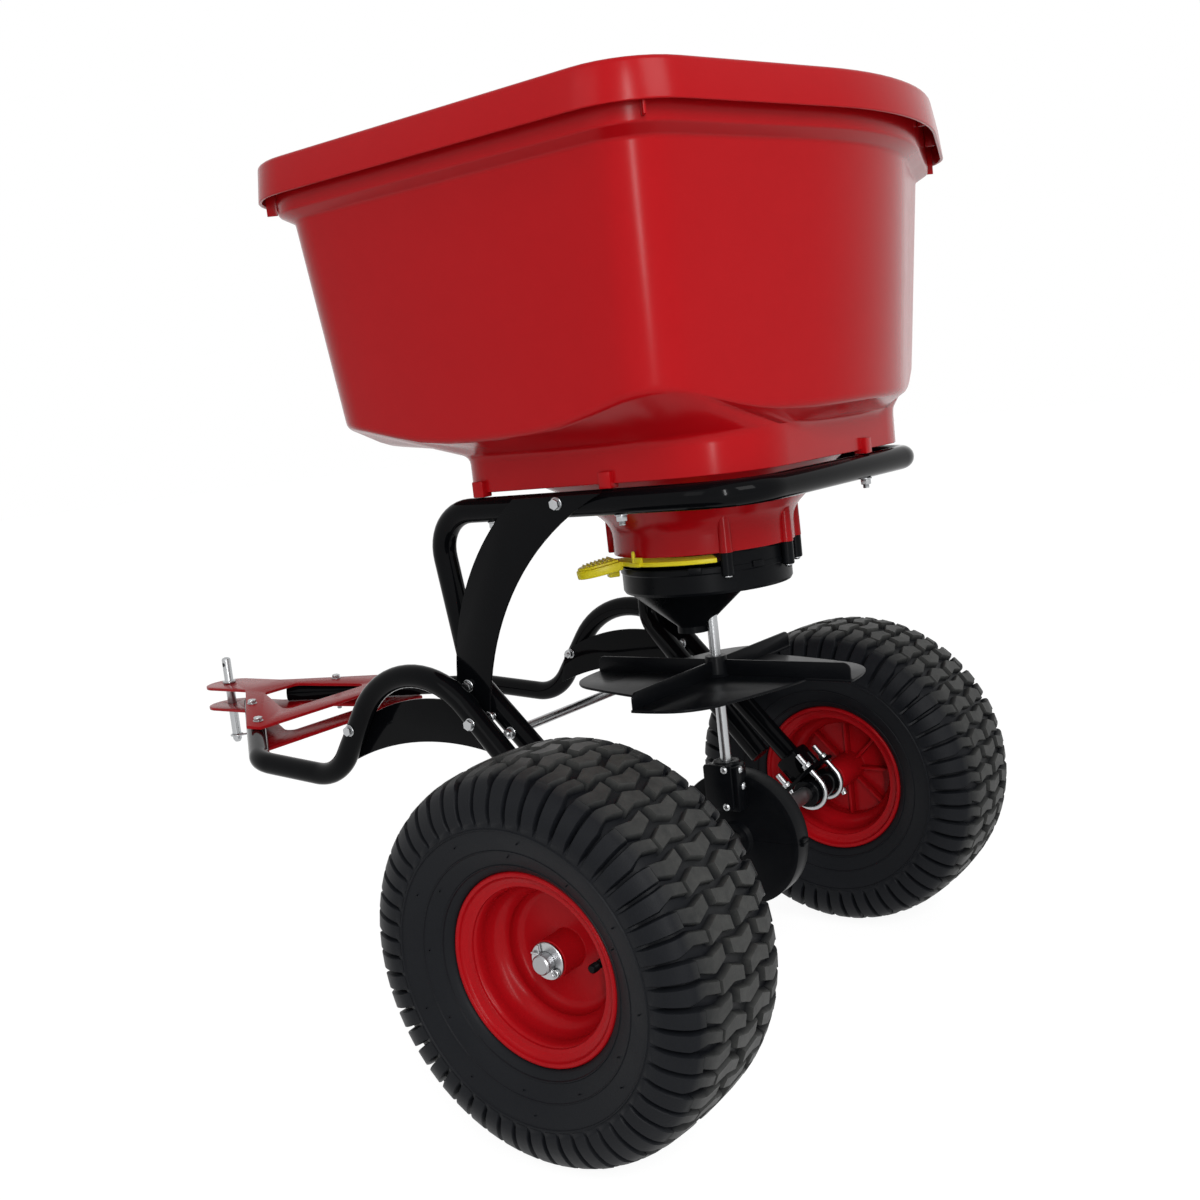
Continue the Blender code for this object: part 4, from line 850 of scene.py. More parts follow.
@dataclass
class Hopper:
    """Moulded hopper with its rim band, skirt, neck and bosses."""

    rim_z: float = 0.7636
    centre_y: float = -0.0554
    half_width: float = 0.3265
    corner_y: float = 0.2296
    nose_y: float = 0.3406
    corner_radius: float = 0.078
    nose_radius: float = 0.364
    wall: float = 0.0035
    band_height: float = 0.035
    band_flare: float = 0.004
    lip_inset: float = 0.014
    lip_drop: float = 0.048
    wall_top_inset: float = 0.028
    wall_top_drop: float = 0.056
    foot_inset: float = 0.048
    foot_z: float = 0.4745
    wall_corner: float = 0.055
    arch_rise: float = 0.026
    arch_width: float = 0.080
    arch_tops: tuple[int, ...] = (4, 21, 53, 70)
    skirt_half: float = 0.20175
    skirt_front: float = -0.168
    skirt_rear: float = 0.17175
    skirt_corner: float = 0.045
    skirt_rear_corner: float = 0.085
    skirt_bow: float = 0.085
    skirt_bow_rise: float = 0.0002
    skirt_top_z: float = 0.458
    skirt_bottom_z: float = 0.4212
    neck_radius: float = 0.0985
    neck_bottom_z: float = 0.3349
    neck_top_z: float = 0.366
    neck_flare: float = 0.034
    neck_flare_z: float = 0.398
    foot_size: float = 0.014
    foot_seat_z: float = 0.417
    foot_overlap: float = 0.012
    foot_spots: tuple[Spot, ...] = ((0.2, -0.134), (0.2, 0.024), (-0.2, -0.134), (-0.2, 0.024),
                                    (-0.054, 0.17))
    boss_radius: float = 0.0065
    boss_height: float = 0.040
    boss_azimuths: tuple[float, ...] = (44.0, 92.0, 125.0, -160.0)
    rib: Size = (0.011, 0.006, 0.054)
    rib_azimuth: float = -64.0
    channel_rib: Size = (0.0024, 0.026, 0.043)
    long_ribs: tuple[int, ...] = (2, 22, 52, 72)

    def plan(self, corners: list[tuple[Vector, float, bool]]) -> Walk:
        """Walk a rounded outline once round.

        Args:
            corners: Corner, rounding and whether the rounding is a length.

        Returns:
            Points with their outward normals.
        """
        steps, runs = (8, 8, 12, 8, 8, 12), (8, 5, 5, 8, 5, 5)
        arcs = [round_corner(corners[i - 1][0], spot, corners[(i + 1) % 6][0], reach, steps[i], by_length)
                for i, (spot, reach, by_length) in enumerate(corners)]
        walk = []
        for i, arc in enumerate(arcs):
            walk.extend(arc)
            last, normal = arc[-1]
            following = arcs[(i + 1) % 6][0][0]
            walk.extend((last.lerp(following, step / (runs[i] + 1)), normal)
                        for step in range(1, runs[i] + 1))
        return walk

    def rim_plan(self, corner: float) -> Walk:
        """Return the six-sided plan of the rim, with its corners rounded."""
        half, side, nose, bow = self.half_width, self.corner_y, self.nose_y, self.nose_radius
        return self.plan([(Vector((half, -side)), corner, False), (Vector((half, side)), corner, False),
                          (Vector((0.0, nose)), bow, False), (Vector((-half, side)), corner, False),
                          (Vector((-half, -side)), corner, False), (Vector((0.0, -nose)), bow, False)])

    def skirt_plan(self) -> Walk:
        """Return the rounded rectangle of the skirt."""
        half, front, rear = self.skirt_half, self.skirt_front, self.skirt_rear
        tight, wide = self.skirt_corner, self.skirt_rear_corner
        bow, rise = self.skirt_bow, self.skirt_bow_rise
        return self.plan([(Vector((half, front)), tight, False), (Vector((half, rear)), wide, False),
                          (Vector((0.0, rear + rise)), bow, True), (Vector((-half, rear)), wide, False),
                          (Vector((-half, front)), tight, False), (Vector((0.0, front - rise)), bow, True)])

    def rim_ring(self, inset: float, height: float, wall_inset: float | None = None) -> list[Vector]:
        """Draw the rim's plan in at a height.

        Args:
            inset: How far the plan is drawn in.
            height: Height of the ring.
            wall_inset: Inset of the wall's outer face, where the ring has the wall's broad corners.

        Returns:
            The points of the ring.
        """
        corner = self.corner_radius if wall_inset is None else self.wall_corner + wall_inset
        return [Vector((p.x - n.x * inset, self.centre_y + p.y - n.y * inset, height))
                for p, n in self.rim_plan(corner)]

    def skirt_ring(self, inset: float, height: float) -> list[Vector]:
        """Return the skirt's plan, drawn in by an inset at a height."""
        return [Vector((p.x - n.x * inset, p.y - n.y * inset, height)) for p, n in self.skirt_plan()]

    def neck_ring(self, radius: float, height: float) -> list[Vector]:
        """Return the neck's circle, with its points in line with the skirt's."""
        spots = [Vector((p.x, p.y, 0.0)).normalized() for p, _ in self.skirt_plan()]
        return [Vector((s.x * radius, s.y * radius, height)) for s in spots]

    def foot_ring(self, inset: float, lift: float) -> list[Vector]:
        """Return the foot of the walls, which arches up at the corners."""
        ring = self.rim_ring(inset, 0.0, self.foot_inset)
        tops = [ring[i].copy() for i in self.arch_tops]
        for spot in ring:
            apart = min((spot - top).length for top in tops)
            spot.z = self.foot_z + lift + self.arch_rise * math.exp(-(apart / self.arch_width)**2)
        return ring

    @staticmethod
    def soften(rings: list[list[Vector]], radii: list[float], steps: int = 4) -> list[list[Vector]]:
        """Round a closed row of rings where they turn.

        Args:
            rings: Rings at the turns.
            radii: Length of the rounding at each ring.
            steps: Pieces of each rounding.

        Returns:
            The rings of the rounded skin.
        """
        count = len(rings)
        result = []
        for i, ring in enumerate(rings):
            before, after = rings[i - 1], rings[(i + 1) % count]
            for step in range(steps + 1):
                t = step / steps
                row = []
                for a, b, c in zip(before, ring, after):
                    start = b + (a - b) * min(0.46, radii[i] / max((a - b).length, 1e-6))
                    end = b + (c - b) * min(0.46, radii[i] / max((c - b).length, 1e-6))
                    row.append(start * (1 - t)**2 + b * (2 * t * (1 - t)) + end * t**2)
                result.append(row)
        return result

    def shell(self) -> Piece:
        """Loft the hopper's wall from the rim to the neck and back up inside."""
        w, top = self.wall, self.rim_z
        flare = self.neck_radius + self.neck_flare
        wall_in, wall_z = self.wall_top_inset, top - self.wall_top_drop
        turns = [
            (self.rim_ring(0.0, top), 0.004),
            (self.rim_ring(-self.band_flare, top - self.band_height), 0.0014),
            (self.rim_ring(w - self.band_flare, top - self.band_height), 0.0014),
            (self.rim_ring(w, top - w), 0.0015),
            (self.rim_ring(self.lip_inset - w / 2, top - w), 0.0015),
            (self.rim_ring(self.lip_inset, top - self.lip_drop), 0.0022),
            (self.rim_ring(wall_in, wall_z, wall_in), 0.0030),
            (self.foot_ring(self.foot_inset, 0.0), 0.0065),
            (self.skirt_ring(0.0, self.skirt_top_z), 0.008),
            (self.skirt_ring(0.0, self.skirt_bottom_z), 0.0012),
            (self.skirt_ring(w, self.skirt_bottom_z), 0.0012),
            (self.skirt_ring(w, self.skirt_top_z - w), 0.006),
            (self.neck_ring(flare, self.neck_flare_z), 0.012),
            (self.neck_ring(self.neck_radius, self.neck_top_z), 0.012),
            (self.neck_ring(self.neck_radius, self.neck_bottom_z), 0.0008),
            (self.neck_ring(self.neck_radius - w, self.neck_bottom_z), 0.0008),
            (self.neck_ring(self.neck_radius - w, self.neck_top_z + w / 2), 0.012),
            (self.neck_ring(flare - w / 2, self.neck_flare_z + w), 0.012),
            (self.skirt_ring(w, self.skirt_top_z + w), 0.008),
            (self.foot_ring(self.foot_inset + w, w), 0.0065),
            (self.rim_ring(wall_in + w, wall_z + w / 2, wall_in), 0.006),
            (self.rim_ring(self.lip_inset + w, top - self.lip_drop + w), 0.004),
            (self.rim_ring(self.lip_inset + w / 2, top), 0.002),
        ]
        rings = self.soften([ring for ring, _ in turns], [radius for _, radius in turns])
        return loft(rings, closed=True)

    def feet(self) -> list[Piece]:
        """Make the feet under the skirt that stand on the hoop."""
        height = self.skirt_bottom_z - self.foot_seat_z + self.foot_overlap
        size = (self.foot_size, self.foot_size, height)
        return [move(block(size, 0.0012), at(x, y, self.foot_seat_z + height / 2))
                for x, y in self.foot_spots]

    def bosses(self) -> list[Piece]:
        """Make the screw bosses and the rib that stand on the neck."""
        bottom, top, r = self.neck_bottom_z, self.neck_bottom_z + self.boss_height, self.boss_radius
        profile = [(0.0, top + 0.012), (0.35 * r, top + 0.011), (0.8 * r, top + 0.003), (r, top - 0.004),
                   (1.08 * r, bottom), (0.0, bottom)]
        made = [spun(profile, Axis.Z, 24, polar(self.neck_radius, azimuth))
                for azimuth in self.boss_azimuths]
        spot = polar(self.neck_radius + 0.002, self.rib_azimuth, bottom + self.rib[2] / 2 + 0.0005)
        return [*made, move(block(self.rib, 0.0016), at(*spot) @ spin(self.rib_azimuth, "Z"))]

    def channel_ribs(self) -> list[Piece]:
        """Make the thin ribs between the rim band and the wall, the corner ones longer."""
        walk = self.rim_plan(self.corner_radius)
        thick, short, long = self.channel_rib
        depth, top = self.lip_inset - self.wall, self.rim_z - 0.002
        made = []
        for i in range(2, len(walk), 5):
            spot, normal = walk[i]
            height = long if i in self.long_ribs else short
            middle = spot - normal * (self.wall / 2 + depth / 2)
            place = at(middle.x, self.centre_y + middle.y, top - height / 2)
            turn = Matrix.Rotation(math.atan2(normal.y, normal.x), 4, "Z")
            made.append(move(block((depth, thick, height), 0.0003), place @ turn))
        return made

    def build(self) -> None:
        """Model and dress the hopper."""
        pieces = [self.shell(), *self.feet(), *self.bosses(), *self.channel_ribs()]
        done(join(pieces), "hopper_shell", RED_PLASTIC, "frame", ("hopper",), angle=40.0)


# Frame


@dataclass
class TubeFrame:
    """Bent tubes, plates and axle clamps that carry the hopper."""

    tube_radius: float = 0.0127
    drawbar_x: float = 0.211
    hump_bend: float = 0.100
    hump_peak: Spot = (-0.2665, 0.2890)
    drawbar_bend: float = 0.060
    hump_z: float = 0.220
    hump_rear_y: float = -0.195
    hump_front_y: float = -0.322
    dip: Spot = (-0.394, 0.106)
    turn_y: float = -0.530
    leg_bend: float = 0.050
    leg_y: float = -0.202
    knee: Spot = (0.172, 0.220)
    leg_end: Size = (0.160, -0.048, 0.051)
    hoop_x: float = 0.200
    hoop_z: float = 0.404
    hoop_rear_y: float = 0.170
    hoop_corner: float = 0.058
    plate: float = 0.003
    sleeve_radius: float = 0.0165
    sleeve_length: float = 0.070
    saddle: Size = (0.058, 0.0545, 0.005)
    u_bolt_radius: float = 0.0035
    clamp: Size = (0.0345, 0.0335, 0.034)
    u_bolt_spread: float = 0.022
    u_bolt_leg: float = 0.042
    tie_rod_z: float = 0.164
    tie_rod_radius: float = 0.005
    gusset_rise: float = 0.45
    gusset_back: float = 0.026
    gusset_drop: float = 0.074
    brace_top: Spot = (-0.082, 0.026)
    brace_front: tuple[Spot, Spot] = ((-0.172, 0.318), (-0.2085, 0.205))
    brace_rear: tuple[Spot, Spot] = ((-0.172, 0.165), (-0.118, 0.304))
    brace_lean: float = 0.114
    brace_bolts: tuple[Size, ...] = ((0.1950, -0.190, 0.2175), (0.2167, -0.028, 0.407))
    hump_bolts: tuple[Spot, ...] = ((-0.352, 0.167), (-0.169, 0.183))
    foot_nuts: tuple[Spot, ...] = ((0.2, -0.123), (0.2, 0.035), (-0.2, -0.123), (-0.2, 0.035),
                                   (-0.054, 0.17))

    @property
    def leg_tilt(self) -> float:
        """Return the lean of the drawbar's rear leg."""
        return math.atan2(-self.hump_rear_y, self.hump_z)

    def drawbar(self) -> list[Vector]:
        """Return the left drawbar's path."""
        up = Vector((0.0, self.hump_rear_y, self.hump_z)).normalized()
        start = up * (self.sleeve_radius + self.saddle[2] + 2 * FIT)
        turn_z = Hitch.tongue_z - Hitch.fold_slope * (self.turn_y - Hitch.fold_y)
        tip_z = Hitch.tongue_z - Hitch.fold_slope * (Hitch.tip[1] - Hitch.fold_y)
        x = self.drawbar_x
        return fillet([Vector((x, start.y, start.z)), Vector((x, *self.hump_peak)), Vector((x, *self.dip)),
                       Vector((x, self.turn_y, turn_z)), Vector((*Hitch.tip, tip_z))],
                      [self.hump_bend, self.drawbar_bend, self.drawbar_bend], 18)

    def hoop(self) -> list[Vector]:
        """Return the path of the hopper's tube from leg end to leg end."""
        points = []
        for side in (1, -1):
            leg = [Vector((side * self.leg_end[0], *self.leg_end[1:])),
                   Vector((side * self.knee[0], self.leg_y, self.knee[1])),
                   Vector((side * self.hoop_x, self.leg_y, self.hoop_z)),
                   Vector((side * self.hoop_x, self.hoop_rear_y, self.hoop_z))]
            points.extend(leg if side == 1 else leg[::-1])
        bend, corner = self.leg_bend, self.hoop_corner
        return fillet(points, [bend, bend, corner, corner, bend, bend], 12)

    def side_plate(self, outline: list[Spot], x: float, tilt: float) -> Piece:
        """Stand a plate in a side plane, drawn with its Y and Z coordinates."""
        turn = Matrix.Rotation(tilt, 4, "Y") @ UPRIGHT
        return move(cut_plate(outline, self.plate, 0.0005), at(x, 0, 0) @ turn)

    def gusset(self, side: int, word: str) -> float:
        """Make the arched plate under the hump and return its X."""
        x = self.drawbar_x - self.tube_radius - FIT - self.plate / 2
        rise_y = self.dip[0] + (self.hump_front_y - self.dip[0]) * self.gusset_rise
        rise_z = self.dip[1] + (self.hump_z - self.dip[1]) * self.gusset_rise
        back_y, low_z = self.hump_rear_y + self.gusset_back, self.hump_z - self.gusset_drop
        middle = (rise_y + back_y) / 2
        top = arc_through((rise_y, rise_z + 0.012), (middle, self.hump_z - 0.0195),
                          (back_y, self.hump_z - 0.030), 24)
        under = arc_through((back_y, low_z), (middle, low_z + 0.006), (rise_y - 0.012, rise_z - 0.032), 20)
        piece = self.side_plate(top + under, side * x, 0.0)
        done(piece, f"gusset_plate_{word}", BLACK_POWDER, "frame", (f"gusset_{word}",))
        return x

    def column(self, side: int, word: str, gusset_x: float) -> None:
        """Make the curved plate from the hump up to the hoop."""
        foot_x = gusset_x - self.plate - FIT
        foot_z = self.hump_z - 0.004
        top_x = self.hoop_x + self.tube_radius + 1.5 * FIT + self.plate / 2
        tilt = math.atan2(top_x - foot_x, self.hoop_z - foot_z)
        top_z = self.hoop_z + self.tube_radius
        front = arc_through((self.brace_top[0], top_z), *self.brace_front, 22)
        back = arc_through(*self.brace_rear, (self.brace_top[1], top_z), 22)
        x = foot_x - foot_z * math.tan(tilt)
        piece = self.side_plate(front + back, side * x, side * tilt)
        done(piece, f"brace_plate_{word}", BLACK_POWDER, "frame", (f"column_plate_{word}",))

    def axle_seat(self, side: int, word: str) -> None:
        """Make the sleeve, the saddle plate with its clamp block, and the two U-bolts."""
        x = side * self.drawbar_x
        half = self.sleeve_length / 2
        sleeve = spun(washer(AXLE_RADIUS + FIT, self.sleeve_radius, -half, half, 0.0008),
                      Axis.X, 48, Vector((x, 0, 0)))
        done(sleeve, f"sleeve_{word}", BLACK_POWDER, "frame", (f"axle_sleeve_{word}",))
        tilt = at(x, 0, 0) @ Matrix.Rotation(self.leg_tilt, 4, "X")
        seat_z = self.sleeve_radius + FIT + self.saddle[2] / 2
        clamp = move(block(self.clamp, 0.0040), at(0, 0, self.clamp[2] / 2))
        saddle = join([block(self.saddle, 0.0009), clamp])
        move(saddle, tilt @ at(0, 0, seat_z))
        done(saddle, f"saddle_plate_{word}", BLACK_POWDER, "frame", (f"saddle_{word}",))
        loop = self.sleeve_radius + self.u_bolt_radius + FIT
        bend = [Vector((0, loop * cos(t), loop * sin(t))) for t in (pi + pi * i / 20 for i in range(21))]
        path = [Vector((0, -loop, self.u_bolt_leg)), *bend, Vector((0, loop, self.u_bolt_leg))]
        nuts = []
        for part, shift in (("inner", -side * self.u_bolt_spread), ("outer", side * self.u_bolt_spread)):
            bolt = tube([spot + Vector((shift, 0, 0)) for spot in path], self.u_bolt_radius, 16)
            done(move(bolt, tilt), f"u_bolt_rod_{word}_{part}", ZINC, "frame", (f"u_bolt_{word}_{part}",))
            nuts += [(Fixing.BOLT, tilt @ Vector((shift, y, seat_z + self.saddle[2] / 2)),
                      tilt.to_3x3() @ Vector((0, 0, 1))) for y in (-loop, loop)]
        TRAY.set_of(f"u_bolt_nuts_{word}", "frame", nuts, 1.05)

    def tie_rod(self) -> None:
        """Make the rod between the legs."""
        share = (self.knee[1] - self.tie_rod_z) / (self.knee[1] - self.leg_end[2])
        half = self.knee[0] + share * (self.leg_end[0] - self.knee[0]) - self.tube_radius - 2 * FIT
        y = self.leg_y + share * (self.leg_end[1] - self.leg_y)
        bar = spun(rod(self.tie_rod_radius, -half, half, 0.0006), Axis.X, 32, Vector((0, y, self.tie_rod_z)))
        done(bar, "tie_bar", ZINC, "frame", ("tie_rod",))
        out = half + 2 * self.tube_radius
        TRAY.set_of("tie_bar_nuts", "frame", [
            (Fixing.NUT, Vector((side * (out + 0.001), y, self.tie_rod_z)), Vector((side, 0, 0)))
            for side in (1, -1)])

    def fixings(self) -> None:
        """Set the bolts through the tubes and plates, and the nuts below the hopper's feet."""
        outer = self.drawbar_x + self.tube_radius - 0.0006
        inner = self.drawbar_x - self.tube_radius - FIT - self.plate
        places = []
        for side in (1, -1):
            for y, z in self.hump_bolts:
                places.append((Fixing.BOLT, Vector((side * outer, y, z)), Vector((side, 0, 0))))
                places.append((Fixing.NUT, Vector((side * inner, y, z)), Vector((-side, 0, 0))))
            places += [(Fixing.BOLT, Vector((side * x, y, z)), Vector((side, 0, -self.brace_lean)))
                       for x, y, z in self.brace_bolts]
        under = self.hoop_z - self.tube_radius + 0.0006
        places += [(Fixing.NUT, Vector((x, y, under)), Vector((0, 0, -1))) for x, y in self.foot_nuts]
        TRAY.set_of("frame_bolts", "frame", places)

    def build(self) -> None:
        """Model and dress the frame."""
        path = self.drawbar()
        for side, word in LEFT_RIGHT:
            bar = tube([Vector((p.x * side, p.y, p.z)) for p in path], self.tube_radius, 28)
            done(bar, f"drawbar_tube_{word}", BLACK_POWDER, "frame", (f"drawbar_{word}",))
        hoop = tube(self.hoop(), self.tube_radius, 28)
        done(hoop, "hoop_tube", BLACK_POWDER, "frame", ("hopper_frame",))
        for side, word in LEFT_RIGHT:
            self.column(side, word, self.gusset(side, word))
            self.axle_seat(side, word)
        self.tie_rod()
        self.fixings()


# Hitch


@dataclass
class Hitch:
    """Folded hitch plates with their pin and clip."""

    plate: float = 0.004
    tongue_z: float = 0.139
    tongue_half: float = 0.033
    plate_offset: float = 0.015
    fold_y: float = -0.765
    fold_slope: float = 0.0963
    pin_y: float = -0.840
    pin_radius: float = 0.0063
    collar_radius: float = 0.0095
    collar_height: float = 0.004
    pin_top_z: float = 0.195
    pin_bottom_z: float = 0.068
    eye_radius: float = 0.0030
    eye_drop: float = 0.0105
    clip_wire: float = 0.0015
    clip_z: float = 0.078
    tip: Spot = (0.032, -0.752)
    arm_outer_x: float = 0.155
    arm_rear_y: float = -0.598
    arm_margin: float = 0.011
    arm_chamfer: float = 0.020
    window: tuple[Spot, Spot] = ((0.030, -0.728), (0.078, -0.632))
    bolts: tuple[Spot, ...] = ((0.078, -0.697), (0.132, -0.622))

    def outline(self) -> list[Spot]:
        """Return the A-shaped outline: round tongue, two arms and a rear bar."""
        turns = [pi * (1 + i / 32) for i in range(33)]
        nose = [(self.tongue_half * cos(t), self.pin_y + self.tongue_half * sin(t)) for t in turns]
        right = [(self.tongue_half, self.fold_y), (self.tip[0] + self.arm_margin, self.tip[1]),
                 (self.arm_outer_x, self.arm_rear_y - self.arm_chamfer),
                 (self.arm_outer_x - 0.3 * self.arm_chamfer, self.arm_rear_y)]
        return nose + right + [(-x, y) for x, y in reversed(right)]

    def plates(self) -> None:
        """Cut, fold and round the upper and the lower plate."""
        (near, front), (far, rear) = self.window
        ends = [Vector((-near, front)), Vector((near, front)), Vector((far, rear)), Vector((-far, rear))]
        window = []
        for i, spot in enumerate(ends):
            window += [p for p, _ in round_corner(ends[i - 1], spot, ends[(i + 1) % 4], 0.010, 6)]
        hole = circle((0.0, self.pin_y), self.pin_radius + FIT, 36)
        for word, sign in (("upper", 1), ("lower", -1)):
            piece = cut_plate(self.outline(), self.plate, 0.0, ([(p.x, p.y) for p in window], hole))
            edit(piece)
            bpy.ops.mesh.bisect(plane_co=(0.0, self.fold_y, 0.0), plane_no=(0.0, 1.0, 0.0))
            bpy.ops.object.mode_set(mode="OBJECT")
            for vert in piece.data.vertices:
                if vert.co.y > self.fold_y:
                    vert.co.z -= self.fold_slope * (vert.co.y - self.fold_y)
            round_edges(piece, 0.0006)
            move(piece, at(0, 0, self.tongue_z + sign * self.plate_offset))
            done(piece, f"hitch_sheet_{word}", RED_ENAMEL, "frame", (f"hitch_plate_{word}",))

    def pin(self) -> None:
        """Make the pin with its collar and cross hole, and the spring clip."""
        seat = self.tongue_z + self.plate_offset + self.plate / 2 + FIT
        top, low, soft = self.pin_top_z, self.pin_bottom_z, 0.0008
        r, collar, high = self.pin_radius, self.collar_radius, seat + self.collar_height
        dome = [(r * sin(t), top - 0.6 * r * (1 - cos(t))) for t in QUARTER]
        profile = [*dome, (r, high), (collar - soft, high), (collar, high - soft), (collar, seat + soft),
                   (collar - soft, seat), (r, seat), (r, low + 0.004), (0.6 * r, low), (0.0, low)]
        bar = spun(profile, Axis.Z, 32, Vector((0, self.pin_y, 0)))
        eye = prism(circle((0.0, 0.0), self.eye_radius, 20), 0.03)
        move(eye, at(0, self.pin_y, top - self.eye_drop) @ spin(90.0, "Y"))
        cut(bar, eye)
        round_edges(bar, 0.0004, 2, 40.0)
        done(bar, "pull_pin", ZINC, "coupling_pin", ("hitch_pin",))
        reach = self.pin_radius + self.clip_wire + FIT
        loop = [Vector((reach * cos(t), self.pin_y + reach * sin(t), self.clip_z))
                for t in (radians(120 + 300 * i / 30) for i in range(31))]
        tail = loop[-1] + Vector((-0.026, 0.015, 0.0))
        done(tube([*loop, tail], self.clip_wire, 12), "pin_clip", ZINC, "coupling_pin", ("hitch_clip",))

    def build(self) -> None:
        """Model and dress the hitch."""
        self.plates()
        self.pin()
        places = []
        tilt = Vector((0.0, self.fold_slope, 1.0)).normalized()
        for side in (1, -1):
            for x, y in self.bolts:
                drop = self.fold_slope * (y - self.fold_y)
                upper = self.tongue_z + self.plate_offset + self.plate / 2 - drop
                lower = self.tongue_z - self.plate_offset - self.plate / 2 - drop
                places.append((Fixing.BOLT, Vector((side * x, y, upper)), tilt))
                places.append((Fixing.NUT, Vector((side * x, y, lower)), -tilt))
        TRAY.set_of("hitch_bolts", "frame", places)


# Wheels


@dataclass
class Wheel:
    """Turf tyre on a pressed steel wheel."""

    side: int
    word: str
    body: str
    centre_x: float = 0.3075
    crown: float = 0.1905
    half: float = 0.0825
    wall_start: float = 0.06
    shoulder_drop: float = 0.02
    bead: Spot = (0.0390, 0.0527)
    cavity: tuple[Spot, ...] = ((0.1000, 0.0460), (0.1512, 0.0750), (0.1700, 0.0560), (0.1780, 0.0))
    tread_depth: float = 0.0078
    pitches: int = 27
    row_step: float = 0.0225
    block_half: float = 0.0172
    block_length: float = 0.0158
    block_taper: float = 0.0026
    sweep: float = 0.0058
    long_lug: tuple[tuple[float, ...], ...] = (
        (0.0, -0.0008, 0.0056), (0.018, 0.0042, 0.0062), (0.034, 0.0010, 0.0087))
    short_lug: tuple[tuple[float, ...], ...] = ((0.0, 0.0004, 0.0078), (0.012, 0.0010, 0.0087))
    lug_starts: Spot = (0.0415, 0.0660)
    lug_end_radius: float = 0.1395
    lug_fade: float = 0.016
    wall_rings: tuple[Spot, ...] = ((0.1388, 0.0013), (0.1172, 0.0009), (0.1010, 0.0012))
    flange: float = 0.0925
    seat: float = 0.0765
    well: float = 0.064
    rim_half: float = 0.060
    rim_wall: float = 0.003
    lip: float = 0.007
    hub: float = 0.019
    hub_out: float = 0.034
    hub_in: float = 0.0612
    disc: float = 0.003
    bowl: float = 0.009
    bore: float = 0.0098
    ribs: int = 8
    valve_radius: float = 0.0056
    valve_length: float = 0.030
    valve_circle: float = 0.047
    valve_turn: float = -2.4
    pips: int = 18
    pip_circles: Spot = (0.1120, 0.1290)

    def handed(self, piece: Piece) -> Piece:
        """Mirror a piece that is drawn for the left wheel where this is the right one."""
        return piece if self.side > 0 else move(piece, Matrix.Diagonal((-1, 1, 1, 1)))

    def section(self) -> list[Spot]:
        """Return half of the tyre's outer section as distance from the middle and radius."""
        crown, half = self.crown, self.half
        return smooth_line([(0.0, crown), (0.35 * half, crown - 0.0010), (0.66 * half, crown - 0.0041),
                            (0.88 * half, crown - 0.0144), (half, crown - 0.0391),
                            (0.92 * half, crown - 0.0704), (0.062, self.flange + 0.0028),
                            (self.bead[1], self.flange + FIT)], 12)

    def depth(self, radius: float) -> float:
        """Return how deep the grooves are at a radius."""
        share = min(1.0, max(0.0, (radius - self.lug_end_radius) / self.lug_fade))
        return self.tread_depth * share * share * (3 - 2 * share)

    def skin(self) -> list[tuple[Vector, Vector, float]]:
        """Return the outer section's points, normals and groove depths, with X along the axle."""
        line = self.section()
        rows = []
        for i, (x, radius) in enumerate(line):
            ahead, behind = line[min(i + 1, len(line) - 1)], line[max(i - 1, 0)]
            along = Vector((ahead[0] - behind[0], ahead[1] - behind[1]))
            normal = Vector((-along.y, along.x)).normalized()
            rows.append((Vector((x, radius)), normal, self.depth(radius)))
        return rows

    def carcass(self) -> Piece:
        """Spin the tyre's body at the depth of the grooves."""
        upper = []
        for spot, normal, depth in self.skin():
            place = spot - normal * depth
            upper.append((place.y, place.x))
        toe, heel = self.bead
        inner = [(self.seat + FIT, heel), (self.seat + FIT, toe), *self.cavity]
        mirrored = [(r, -x) for r, x in inner[:-1] + upper[:0:-1]]
        return spun(mirrored + upper + inner, Axis.X, 108)

    def wrap(self, x: float, run: float, radius: float) -> Vector:
        """Return the place of a tread point: X along the axle, run along the crown, and a radius."""
        turn = run / self.crown
        return Vector((x, -radius * sin(turn), radius * cos(turn)))

    def radius_at(self, x: float) -> float:
        """Return the outer radius of the tread at a distance from the middle."""
        line = self.section()
        for (xa, ra), (xb, rb) in zip(line, line[1:]):
            if xa <= abs(x) <= xb:
                return ra + (rb - ra) * (abs(x) - xa) / max(xb - xa, 1e-9)
        return line[-1][1]

    def block(self, rows: list[tuple[Vector, Vector, float, Spot, int]], side: int) -> Piece:
        """Loft one tread block through its cross-sections.

        Args:
            rows: Place, normal, groove depth, reach along the tread, and -1 or 1 at the block's ends.
            side: 1 as drawn, -1 for the other side of the tyre.

        Returns:
            The block, with drafted flanks and a softened top edge.
        """
        rings = []
        for spot, normal, depth, (front, back), end in rows:
            lower, upper = [], []
            for sink, grow in ((1.0, 0.0012), (0.14, 0.0), (0.0, -0.0009)):
                place = spot - normal * (sink * (depth + 0.0012))
                x = side * (place.x + end * grow)
                lower.append(self.wrap(x, front - grow, place.y))
                upper.append(self.wrap(x, back + grow, place.y))
            rings.append(lower + upper[::-1])
        return loft(rings)

